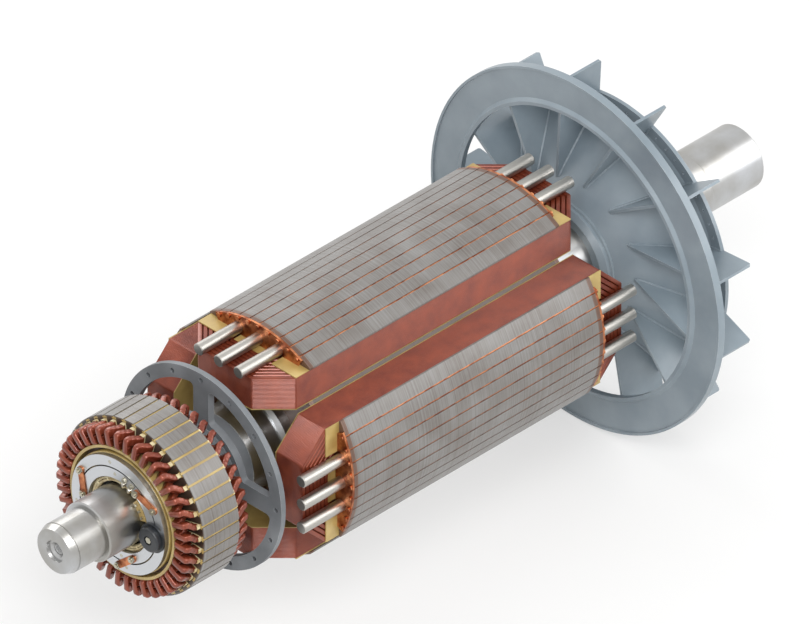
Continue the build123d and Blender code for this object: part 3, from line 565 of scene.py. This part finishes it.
# Exciter winding. Formed coils of round wire, each in two neighbouring slots,
# wrapped in glass tape past the core, drawn in to a rounded nose at both ends
# and dipped with the core in the field coils' varnish.
exciter_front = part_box("exciter_core")[0].x
exciter_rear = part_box("exciter_core")[1].x
slot_count = 42
slot_pitch = math.tau / slot_count
half_throw = 0.5 * slot_pitch
bar_width = 0.0085
bar_height = 0.017
bar_edge = 0.0022
bar_gap = 0.004
support_gap = 0.0003
lower_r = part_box("front_winding_support_ring")[1].z + support_gap
upper_r = lower_r + bar_height + bar_gap
nose_start = 0.031
nose_length = 0.008
nose_overlap = 0.003
nose_round_r = 0.0072
nose_half_width = 0.0058
nose_edge = 0.0016
hollow_side = 0.0022
hollow_middle = 0.0032
tape_start = 0.0045
tape_build = 0.0016
tape_laps = 4
lap_step = 0.00045


def bar_section(grow):
    """Rounded section of a coil side, thicker by its tape: (across, out) pairs."""
    half_width = bar_width / 2 + grow
    half_height = bar_height / 2 + 0.6 * grow
    section = []
    for side, rise, first in ((1, 1, 0), (-1, 1, 90), (-1, -1, 180), (1, -1, 270)):
        for step in range(3):
            turn = math.radians(first + 45 * step)
            section.append((side * (half_width - bar_edge) + bar_edge * math.cos(turn),
                            rise * (half_height - bar_edge) + bar_edge * math.sin(turn)))
    return section


def end_run(core_face, out, slot_angle, swing):
    """Line of a coil side past the core: (x, angle, tape) at each ring."""
    run = []
    # Bare in the slot, and in full tape 4 mm past the core
    for out_by, tape in ((-0.006, 0.0), (0.0015, 0.0), (0.0025, 0.5), (0.004, 1.0)):
        run.append((core_face + out * out_by, slot_angle, tape * tape_build))
    # Each lap of the tape starts high and thins out to the next, while the side
    # leans over from its slot to the nose in a flat S
    length = nose_start - tape_start
    for lap in range(tape_laps):
        for share, rise in ((0.04, 1), (0.5, 0.5), (0.97, 0)):
            t = (lap + share) / tape_laps
            lean = swing * (t + 0.12 * math.sin(math.tau * (t - 0.5)))
            run.append((core_face + out * (tape_start + length * t), slot_angle + lean,
                        tape_build + lap_step * rise))
    run.append((core_face + out * (nose_start + nose_overlap), slot_angle + swing, tape_build * 0.5))
    return run


def coil_side(low_radius, slot_angle, nose_angle):
    """One side of a coil: from nose to nose, through its slot."""
    middle_r = low_radius + bar_height / 2
    swing = nose_angle - slot_angle
    line = list(reversed(end_run(exciter_front, -1, slot_angle, swing)))
    line += end_run(exciter_rear, 1, slot_angle, swing)
    spots = [around_axis(x, middle_r, angle) for x, angle, tape in line]
    rows = []
    for i, spot in enumerate(spots):
        tangent = (spots[min(i + 1, len(spots) - 1)] - spots[max(i - 1, 0)]).normalized()
        outward = Vector((0, spot.y, spot.z)).normalized()
        sideways = tangent.cross(outward).normalized()
        for a, b in bar_section(line[i][2]):
            rows.append(spot + a * sideways + b * outward)
    return rows, strip_faces(len(spots), len(bar_section(0)), False)


def nose_block(start_x, out, angle):
    """Rounded nose that joins both sides of a coil, open between them."""
    height = upper_r + bar_height - lower_r
    # Outline as (out from the start, up from the lower side)
    outline = [(-nose_overlap, 0.0)]
    for first, centre_u, centre_v in ((-90, nose_length - nose_round_r, nose_round_r),
                                      (0, nose_length - nose_round_r, height - nose_round_r)):
        for step in range(5):
            turn = math.radians(first + 22.5 * step)
            outline.append((centre_u + nose_round_r * math.cos(turn),
                            centre_v + nose_round_r * math.sin(turn)))
    gap_low = bar_height
    gap_high = height - bar_height
    outline += [(-nose_overlap, height), (-nose_overlap, gap_high), (hollow_side, gap_high),
                (hollow_middle, (gap_low + gap_high) / 2), (hollow_side, gap_low),
                (-nose_overlap, gap_low)]
    count = len(outline)
    sideways = Vector((0, math.cos(angle), -math.sin(angle)))
    flat_half = nose_half_width - nose_edge
    rows = []
    for offset, inset in ((-nose_half_width, nose_edge), (-flat_half, 0.0), (flat_half, 0.0),
                          (nose_half_width, nose_edge)):
        for i, (u, v) in enumerate(outline):
            (u0, v0), (u1, v1) = outline[i - 1], outline[(i + 1) % count]
            slope = Vector((u1 - u0, v1 - v0)).normalized()
            u_in = u - inset * slope.y
            v_in = v + inset * slope.x
            rows.append(around_axis(start_x + out * u_in, lower_r + v_in, angle) + offset * sideways)
    return rows, strip_faces(4, count, False)


parts = []
for slot in range(slot_count):
    nose_angle = -(0.5 + slot) * slot_pitch
    parts.append(coil_side(upper_r, nose_angle - half_throw, nose_angle))
    parts.append(coil_side(lower_r, nose_angle + half_throw, nose_angle))
    parts.append(nose_block(exciter_front - nose_start, -1, nose_angle))
    parts.append(nose_block(exciter_rear + nose_start, 1, nose_angle))
taped_coils = new_piece("taped_exciter_coils", *join_pieces(parts), coil_varnish, "coil_varnish", 48)
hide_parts("exciter_winding")

# Slot liners. Aramid paper folded round both coil sides of a slot, which
# stands out of the core at both ends so that the wire clears the sheets. It is
# straw yellow, matt and fibrous, and browner where it soaked up varnish.
liner_width = 0.0093
liner_wall = 0.0007
liner_low_r = 0.1449
liner_high_r = 0.1868
liner_reach = 0.0075
liner_tuck = 0.004
paper_fibre = 0.0015
paper_soak = 0.01
aramid_paper, tree, shader = new_material("aramid_paper", {
    "Roughness": 0.6, "IOR": 1.5, "Base Color": colour("#D8CCA4")})
where = add(tree, "ShaderNodeTexCoord").outputs["Object"]
# Fibres are 0.02 mm thick, drawn 1.5 mm apart as the bundles that they lie in
fibres = add(tree, "ShaderNodeTexNoise", {"Scale": 1 / paper_fibre, "Detail": 3.0}, {"Vector": where})
resin = add(tree, "ShaderNodeTexNoise", {"Scale": 1 / paper_soak, "Detail": 3.0}, {"Vector": where})
tint = add(tree, "ShaderNodeValToRGB", {}, {"Fac": resin.outputs["Fac"]})
tint.color_ramp.elements[0].position = 0.3
tint.color_ramp.elements[0].color = colour("#B99E6A")
tint.color_ramp.elements[1].position = 0.65
tint.color_ramp.elements[1].color = colour("#DDD2AC")
relief = add(tree, "ShaderNodeBump", {"Strength": 0.2, "Distance": 0.0002},
             {"Height": fibres.outputs["Fac"]})
tree.links.new(tint.outputs["Color"], shader.inputs["Base Color"])
tree.links.new(relief.outputs["Normal"], shader.inputs["Normal"])
parts = []
for slot in range(slot_count):
    angle = slot * slot_pitch
    sideways = Vector((0, math.cos(angle), -math.sin(angle)))
    for core_face, out in ((exciter_front, -1), (exciter_rear, 1)):
        corners = []
        for side, top in ((-1, 0), (1, 0), (1, 1), (-1, 1)):
            for wall, reach_out in ((0, 0), (0, 1), (1, 1), (1, 0)):
                radius = (liner_high_r - wall * liner_wall) if top else (liner_low_r + wall * liner_wall)
                aside = side * (liner_width / 2 - wall * liner_wall)
                x = core_face + out * (-liner_tuck + reach_out * (liner_tuck + liner_reach))
                corners.append(around_axis(x, radius, angle) + aside * sideways)
        parts.append((corners, strip_faces(4, 4, True)))
new_piece("slot_liners", *join_pieces(parts), aramid_paper, "insulation_board", 30)

# Rectifier. Two milled aluminium rings that carry the diodes and lead their
# heat off, on a laminate base behind them, with plated nuts and screws, copper
# straps and a round suppressor moulded in resin.
mill_mark = 0.004
milled_aluminium, tree, shader = new_material("milled_aluminium", {
    "Metallic": 1.0, "Roughness": 0.33, "Base Color": colour("#C9CBCE")})
where = add(tree, "ShaderNodeTexCoord").outputs["Object"]
# Milling leaves the pale metal brighter and duller by turns, every 4 mm
cuts = add(tree, "ShaderNodeTexNoise", {"Scale": 1 / mill_mark, "Detail": 3.0}, {"Vector": where})
rough = add(tree, "ShaderNodeMapRange", {"To Min": 0.26, "To Max": 0.44}, {"Value": cuts.outputs["Fac"]})
tree.links.new(rough.outputs["Result"], shader.inputs["Roughness"])
for node in ("rectifier_inner_sink", "rectifier_outer_sink", "rectifier_carrier_ring"):
    finish_node(node, milled_aluminium)
# Zinc plate is a warm grey that clouds in spots some 6 mm wide
zinc_bloom = 0.006
zinc_plate, tree, shader = new_material("zinc_plated_steel", {
    "Metallic": 1.0, "Roughness": 0.3, "Base Color": colour("#BDB9A8")})
where = add(tree, "ShaderNodeTexCoord").outputs["Object"]
bloom = add(tree, "ShaderNodeTexNoise", {"Scale": 1 / zinc_bloom, "Detail": 3.0}, {"Vector": where})
tint = add(tree, "ShaderNodeValToRGB", {}, {"Fac": bloom.outputs["Fac"]})
tint.color_ramp.elements[0].color = colour("#A8A28A")
tint.color_ramp.elements[1].color = colour("#C8C5BA")
tree.links.new(tint.outputs["Color"], shader.inputs["Base Color"])
for node in ("inner_sink_diodes", "outer_sink_diodes", "diode_nuts", "sink_screws",
             "suppressor_bolt", "lead_clamp_screws"):
    finish_node(node, zinc_plate)
finish_node("phase_straps", dull_copper)
# Moulded resin is near black and half glossy, with the grain of its mould. The
# grain is 0.2 mm wide, drawn 2 mm so that it shows.
mould_grit = 0.002
moulded_resin, tree, shader = new_material("moulded_epoxy_resin", {
    "Roughness": 0.35, "IOR": 1.55, "Base Color": colour("#23262A")})
where = add(tree, "ShaderNodeTexCoord").outputs["Object"]
grit = add(tree, "ShaderNodeTexNoise", {"Scale": 1 / mould_grit, "Detail": 2.0}, {"Vector": where})
relief = add(tree, "ShaderNodeBump", {"Strength": 0.15, "Distance": 0.0002},
             {"Height": grit.outputs["Fac"]})
tree.links.new(relief.outputs["Normal"], shader.inputs["Normal"])
finish_node("surge_suppressor", moulded_resin)

# Lead ring. Four leads in braided glass sleeves run round the shaft in the bore
# of the rectifier's base, from one side of their clamp to the other. Tapes tie
# them, and two of them come forward to lugs on the inner heat sink.
lead_r = 0.0027
lead_gap = 0.0001
lead_sway = 0.0004
bundle_x = -1.6512
bundle_r = 0.0752
clamp_middle = math.radians(57)
clamp_half = math.radians(16)
ring_steps = 120
lug_angles = [math.radians(-12.4), math.radians(-24.0)]
sink_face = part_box("rectifier_inner_sink")[0].x
# Glass braid is straw white and matt, browner where varnish soaked in. Its
# strands are 0.8 mm wide, drawn 1.6 mm so that they show.
braid_strand = 0.0016
braid_soak = 0.02
glass_braid, tree, shader = new_material("varnished_glass_braid", {
    "Roughness": 0.55, "IOR": 1.5, "Base Color": colour("#C9BC93"), "Sheen Weight": 0.15})
where = add(tree, "ShaderNodeTexCoord").outputs["Object"]
strands = add(tree, "ShaderNodeTexVoronoi", {"Scale": 1 / braid_strand}, {"Vector": where})
soak = add(tree, "ShaderNodeTexNoise", {"Scale": 1 / braid_soak, "Detail": 3.0}, {"Vector": where})
tint = add(tree, "ShaderNodeValToRGB", {}, {"Fac": soak.outputs["Fac"]})
tint.color_ramp.elements[0].position = 0.35
tint.color_ramp.elements[0].color = colour("#A58D5C")
tint.color_ramp.elements[1].position = 0.65
tint.color_ramp.elements[1].color = colour("#D2C69F")
relief = add(tree, "ShaderNodeBump", {"Strength": 0.4, "Distance": 0.0003},
             {"Height": strands.outputs["Distance"]})
tree.links.new(tint.outputs["Color"], shader.inputs["Base Color"])
tree.links.new(relief.outputs["Normal"], shader.inputs["Normal"])


def sleeve(path, normal, radius):
    """Round sleeve along a path that lies in a plane with a given normal."""
    around = 10
    rows = []
    for i, point in enumerate(path):
        tangent = (path[min(i + 1, len(path) - 1)] - path[max(i - 1, 0)]).normalized()
        up = normal.cross(tangent)
        for step in range(around):
            turn = math.tau * step / around
            rows.append(point + radius * (math.cos(turn) * up + math.sin(turn) * normal))
    return rows, strip_faces(len(path), around, False)


parts = []
ring_start = clamp_half - clamp_middle
ring_length = math.tau - 2 * clamp_half
half_pitch = lead_r + lead_gap
for lead, (along, out) in enumerate(((-1, -1), (-1, 1), (1, -1), (1, 1))):
    path = []
    for step in range(ring_steps + 1):
        angle = ring_start + ring_length * step / ring_steps
        sway = lead_sway * math.sin(7 * angle + 2 * lead)
        path.append(around_axis(bundle_x + along * half_pitch + sway, bundle_r + out * half_pitch + sway,
                                angle))
    parts.append(sleeve(path, Vector((1, 0, 0)), lead_r))
# The two leads to the lugs rise from the ring, clear the sink's bore and bend
# outward over its face: (x, radius) at each bend
rise = [(bundle_x - 0.002, 0.0765), (bundle_x - 0.0075, 0.0768), (sink_face - 0.001, 0.0777),
        (sink_face - 0.0035, 0.0795), (sink_face - 0.0046, 0.083), (sink_face - 0.0046, 0.087)]
for angle in lug_angles:
    sideways = Vector((0, math.cos(angle), -math.sin(angle)))
    bends = [around_axis(x, radius, angle) for x, radius in rise]
    path = [bends[0]]
    for i in range(1, len(bends) - 1):
        path += [bends[i] * 0.75 + bends[i - 1] * 0.25, bends[i], bends[i] * 0.75 + bends[i + 1] * 0.25]
    path.append(bends[-1])
    parts.append(sleeve(path, sideways, lead_r))
new_piece("lead_ring", *join_pieces(parts), glass_braid, "insulation_board", 60)

# Ties of the lead ring. Flat tape pulled tight round the four leads, so that
# it takes their rounded square, in twelve places between the clamp's two sides.
tie_count = 12
tie_width = 0.004
tie_build = 0.0007
tie_steps = 16
parts = []
for tie in range(tie_count):
    angle = ring_start + ring_length * (tie + 0.5) / tie_count
    sideways = Vector((0, math.cos(angle), -math.sin(angle)))
    rows = []
    for step in range(tie_steps):
        turn = math.tau * (step + 0.5) / tie_steps
        reach = 2 * lead_r * (1.0 + 0.16 * abs(math.sin(2 * turn)))
        for build, aside in ((0, -1), (0, 1), (tie_build, 1), (tie_build, -1)):
            spot = around_axis(bundle_x + (reach + build) * math.cos(turn),
                               bundle_r + (reach + build) * math.sin(turn), angle)
            rows.append(spot + aside * tie_width / 2 * sideways)
    parts.append((rows, strip_faces(tie_steps, 4, True)))
new_piece("lead_ring_ties", *join_pieces(parts), aramid_paper, "insulation_board", 40)

# Cable lugs. Copper tube crimped on each lead and flattened to a tongue, tinned
# all over, which makes it pale and softly bright, and held down on the heat
# sink by a plated hexagon screw with a washer.
lug_screw_r = 0.0975
tongue_top = 0.0020
# Screw parts as (half width, first and last height over the tongue, corners)
washer = (0.0062, 0.0, 0.0010, 24)
screw_head = (0.0052, 0.0010, 0.0050, 6)
# Sections as (radius, half width, half thickness, height over the sink)
lug_sections = [(0.0835, 0.0036, 0.0036, 0.0046), (0.0895, 0.0036, 0.0036, 0.0046),
                (0.0920, 0.0055, 0.0014, 0.0016), (0.0945, 0.0060, 0.0010, 0.0011),
                (0.1010, 0.0060, 0.0010, 0.0011), (0.1030, 0.0045, 0.0010, 0.0011)]
lug_sides = 12
tin_cloud = 0.004
tinned_copper, tree, shader = new_material("tinned_copper", {
    "Metallic": 1.0, "Roughness": 0.3, "Base Color": colour("#C6C2B8")})
where = add(tree, "ShaderNodeTexCoord").outputs["Object"]
tin = add(tree, "ShaderNodeTexNoise", {"Scale": 1 / tin_cloud, "Detail": 2.0}, {"Vector": where})
rough = add(tree, "ShaderNodeMapRange", {"To Min": 0.24, "To Max": 0.42}, {"Value": tin.outputs["Fac"]})
tree.links.new(rough.outputs["Result"], shader.inputs["Roughness"])
lugs = []
screws = []
for angle in lug_angles:
    sideways = Vector((0, math.cos(angle), -math.sin(angle)))
    outward = around_axis(0, 1, angle)
    rows = []
    for radius, half_wide, half_thick, lift in lug_sections:
        for step in range(lug_sides):
            turn = math.tau * step / lug_sides
            rows.append(Vector((sink_face - lift + half_thick * math.sin(turn), 0, 0))
                        + radius * outward + half_wide * math.cos(turn) * sideways)
    lugs.append((rows, strip_faces(len(lug_sections), lug_sides, False)))
    screw_x = sink_face - tongue_top
    for half_width, first, last, corners in (washer, screw_head):
        rows = []
        for x, share in ((screw_x - first, 1.0), (screw_x - last + 0.0005, 1.0), (screw_x - last, 0.88)):
            for step in range(corners):
                turn = math.tau * step / corners
                rows.append(Vector((x, 0, 0))
                            + (lug_screw_r + share * half_width * math.cos(turn)) * outward
                            + share * half_width * math.sin(turn) * sideways)
        screws.append((rows, strip_faces(3, corners, False)))
new_piece("cable_lugs", *join_pieces(lugs), tinned_copper, "plated_steel", 35)
new_piece("lug_screws", *join_pieces(screws), zinc_plate, "plated_steel", 30)

# Fan. Plate steel: a pressed cone, thirteen flat blades and a flat ring,
# welded together and sprayed with a blue grey machine enamel. The enamel is
# half glossy, with dimples 5 mm apart and dust in patches some 120 mm wide.
enamel_dimple = 0.005
enamel_dust = 0.12
enamel, tree, shader = new_material("machine_enamel", {
    "Roughness": 0.38, "IOR": 1.5, "Base Color": colour("#7D8A93"), "Coat Weight": 0.25,
    "Coat Roughness": 0.2})
where = add(tree, "ShaderNodeTexCoord").outputs["Object"]
peel = add(tree, "ShaderNodeTexNoise", {"Scale": 1 / enamel_dimple, "Detail": 2.0}, {"Vector": where})
dust = add(tree, "ShaderNodeTexNoise", {"Scale": 1 / enamel_dust, "Detail": 6.0}, {"Vector": where})
tint = add(tree, "ShaderNodeValToRGB", {}, {"Fac": dust.outputs["Fac"]})
tint.color_ramp.elements[0].position = 0.3
tint.color_ramp.elements[0].color = colour("#74818A")
tint.color_ramp.elements[1].position = 0.7
tint.color_ramp.elements[1].color = colour("#8A969E")
relief = add(tree, "ShaderNodeBump", {"Strength": 0.12, "Distance": 0.0004},
             {"Height": peel.outputs["Fac"]})
# Its sharp edges are painted pale, as rubbed paint and as a painted highlight
worn_and_highlit_edges(tree, shader, tint.outputs["Color"], "#B4BCC1")
tree.links.new(relief.outputs["Normal"], shader.inputs["Normal"])
for node in ("fan_hub", "fan_back_plate", "fan_blades", "fan_front_ring"):
    finish_node(node, enamel)

# Welds of the fan. Fillets run along both sides of each blade on the cone and
# the ring, and round the hub, painted over with the rest. Legs are about 3 mm
# on the blades and 4 mm on the hub.
blade_count = 13
blade_offset = 0.0665
blade_half = 0.003
blade_phase = math.radians(58.3)
blade_tip_r = 0.1566
ring_past_blade = 0.0172
hub_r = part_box("fan_hub")[1].z
cone_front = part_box("fan_back_plate")[0].x
cone_depth = 0.129
hub_weld_spacing = 0.0092
rim_inner_r = 0.285
rim_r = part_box("fan_back_plate")[1].z
ring_inner_r = 0.3185
ring_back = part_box("fan_blades")[0].x
blade_outer_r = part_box("fan_front_ring")[1].z - ring_past_blade
blade_weld_leg = 0.0032
hub_front_leg = 0.0042
hub_rear_leg = 0.0036
hub_weld_steps = 260
root_steps = 45
ring_weld_steps = 20


def blade_point(x, along, aside, turn):
    """Point on a blade that is turned about the shaft."""
    y = blade_offset + aside
    return Vector((x, y * math.cos(turn) - along * math.sin(turn),
                   y * math.sin(turn) + along * math.cos(turn)))


def root_path(aside, turn):
    """Line where a side of a blade meets the cone and its rim."""
    # The weld stops short of the blade's inner end and of the rim's edge
    first = math.sqrt(blade_tip_r ** 2 - blade_offset ** 2) + 0.004
    last = math.sqrt(rim_r ** 2 - blade_offset ** 2) - 0.002
    path = []
    for step in range(root_steps + 1):
        along = first + (last - first) * step / root_steps
        radius = math.hypot(along, blade_offset + aside)
        share = min((radius - hub_r) / (rim_inner_r - hub_r), 1.0)
        path.append(blade_point(cone_front + cone_depth * share, along, aside, turn))
    return path


def ring_path(aside, turn):
    """Line where a side of a blade meets the inlet ring."""
    # The weld stops short of the ring's bore and of the blade's outer end
    first = math.sqrt(ring_inner_r ** 2 - blade_offset ** 2) + 0.004
    last = math.sqrt(blade_outer_r ** 2 - blade_offset ** 2) - 0.008
    return [blade_point(ring_back, first + (last - first) * step / ring_weld_steps, aside, turn)
            for step in range(ring_weld_steps + 1)]


parts = [weld(circle_path(cone_front, hub_r, hub_weld_steps), hub_front_leg, True, seed=3.0),
         weld(circle_path(cone_front + hub_weld_spacing, hub_r, hub_weld_steps), hub_rear_leg, True,
              seed=4.0)]
for blade in range(blade_count):
    turn = blade_phase + math.tau * blade / blade_count
    for aside in (-blade_half, blade_half):
        parts.append(weld(root_path(aside, turn), blade_weld_leg, False, seed=blade + 20 * aside))
        parts.append(weld(ring_path(aside, turn), blade_weld_leg, False, seed=blade + 40 * aside))
new_piece("fan_welds", *join_pieces(parts), enamel, "fan_steel", 50)

# Studio. A pale matt floor just under the rotor, three soft lamps round it and
# a plain pale world. Lamps are weak enough that a colour renders about as it
# is written.
floor_height = cad_low[2] - 0.002
floor_reach = 12.0
floor_corners = [(x * floor_reach, y * floor_reach, floor_height)
                 for x, y in ((-1, -1), (1, -1), (1, 1), (-1, 1))]
floor_mesh = bpy.data.meshes.new("studio_floor")
floor_mesh.from_pydata(floor_corners, [], [(0, 1, 2, 3)])
floor = bpy.data.objects.new("studio_floor", floor_mesh)
bpy.context.scene.collection.objects.link(floor)
floor_paint, tree, shader = new_material("matt_floor_paint", {
    "Roughness": 0.85, "Base Color": colour("#EDEDEC")})
# Half of what the camera and the metal see of the floor is an even white, and
# all of it far from the lamps, so that it stays pale and takes the shadow
lit_floor_r = 1.8
white_floor_r = 4.5
floor_rays = add(tree, "ShaderNodeLightPath")
direct = add(tree, "ShaderNodeMath", {},
             {0: floor_rays.outputs["Is Camera Ray"], 1: floor_rays.outputs["Is Glossy Ray"]},
             operation="MAXIMUM")
spot = add(tree, "ShaderNodeTexCoord").outputs["Object"]
away = add(tree, "ShaderNodeVectorMath", {}, {0: spot}, operation="LENGTH")
whiteness = add(tree, "ShaderNodeMapRange",
                {"From Min": lit_floor_r, "From Max": white_floor_r, "To Min": 0.5, "To Max": 1.0},
                {"Value": away.outputs["Value"]})
share = add(tree, "ShaderNodeMath", {}, {0: direct.outputs["Value"], 1: whiteness.outputs["Result"]},
            operation="MULTIPLY")
even_white = add(tree, "ShaderNodeEmission", {"Strength": 1.0})
seen_floor = add(tree, "ShaderNodeMixShader", {},
                 {"Fac": share.outputs["Value"], 1: shader.outputs["BSDF"],
                  2: even_white.outputs["Emission"]})
tree.links.new(seen_floor.outputs["Shader"], tree.nodes["Material Output"].inputs["Surface"])
floor_mesh.materials.append(floor_paint)


def soft_lamp(name, offset, size, power):
    """Square soft lamp, set off from the rotor's middle and turned to it."""
    middle = (Vector(cad_low) + Vector(cad_high)) / 2
    lamp_data = bpy.data.lights.new(name, "AREA")
    lamp_data.shape = "SQUARE"
    lamp_data.size = size
    lamp_data.energy = power
    lamp = bpy.data.objects.new(name, lamp_data)
    lamp.location = middle + Vector(offset)
    lamp.rotation_euler = (-Vector(offset)).to_track_quat("-Z", "Y").to_euler()
    bpy.context.scene.collection.objects.link(lamp)


# Offsets and sizes are in metres, powers in watts
soft_lamp("key_lamp", (-2.2, -2.6, 3.4), 2.4, 160)
soft_lamp("fill_lamp", (2.8, -2.4, 1.8), 2.8, 70)
soft_lamp("back_lamp", (0.4, 3.4, 2.6), 3.0, 90)
world = bpy.data.worlds.new("studio_air")
world.use_nodes = True
air = world.node_tree
air.nodes["Background"].inputs["Color"].default_value = colour("#FFFFFF")
# White where the camera and the metal see it, and weaker as light on the rotor
air_rays = add(air, "ShaderNodeLightPath")
seen = add(air, "ShaderNodeMath", {},
           {0: air_rays.outputs["Is Camera Ray"], 1: air_rays.outputs["Is Glossy Ray"]},
           operation="MAXIMUM")
level = add(air, "ShaderNodeMapRange", {"To Min": 0.55, "To Max": 1.0},
            {"Value": seen.outputs["Value"]})
air.links.new(level.outputs["Result"], air.nodes["Background"].inputs["Strength"])
bpy.context.scene.world = world
bpy.context.scene.view_settings.view_transform = "Standard"

# Camera. Far off with a long lens, down the line that sees X, Y and Z alike,
# so that the view is close to the isometric one of the drawing.
view_centre = Vector((-0.8226, 0.0443, 0.0443))
view_width = 1.6025
lens = 1200.0
sensor = 36.0
look = Vector((1, 1, -1)).normalized()
distance = view_width * lens / sensor
camera_data = bpy.data.cameras.new("camera")
camera_data.lens = lens
camera_data.sensor_width = sensor
camera_data.clip_start = 1.0
camera_data.clip_end = 200.0
camera = bpy.data.objects.new("camera", camera_data)
camera.location = view_centre - look * distance
camera.rotation_euler = look.to_track_quat("-Z", "Y").to_euler()
bpy.context.scene.collection.objects.link(camera)
bpy.context.scene.camera = camera
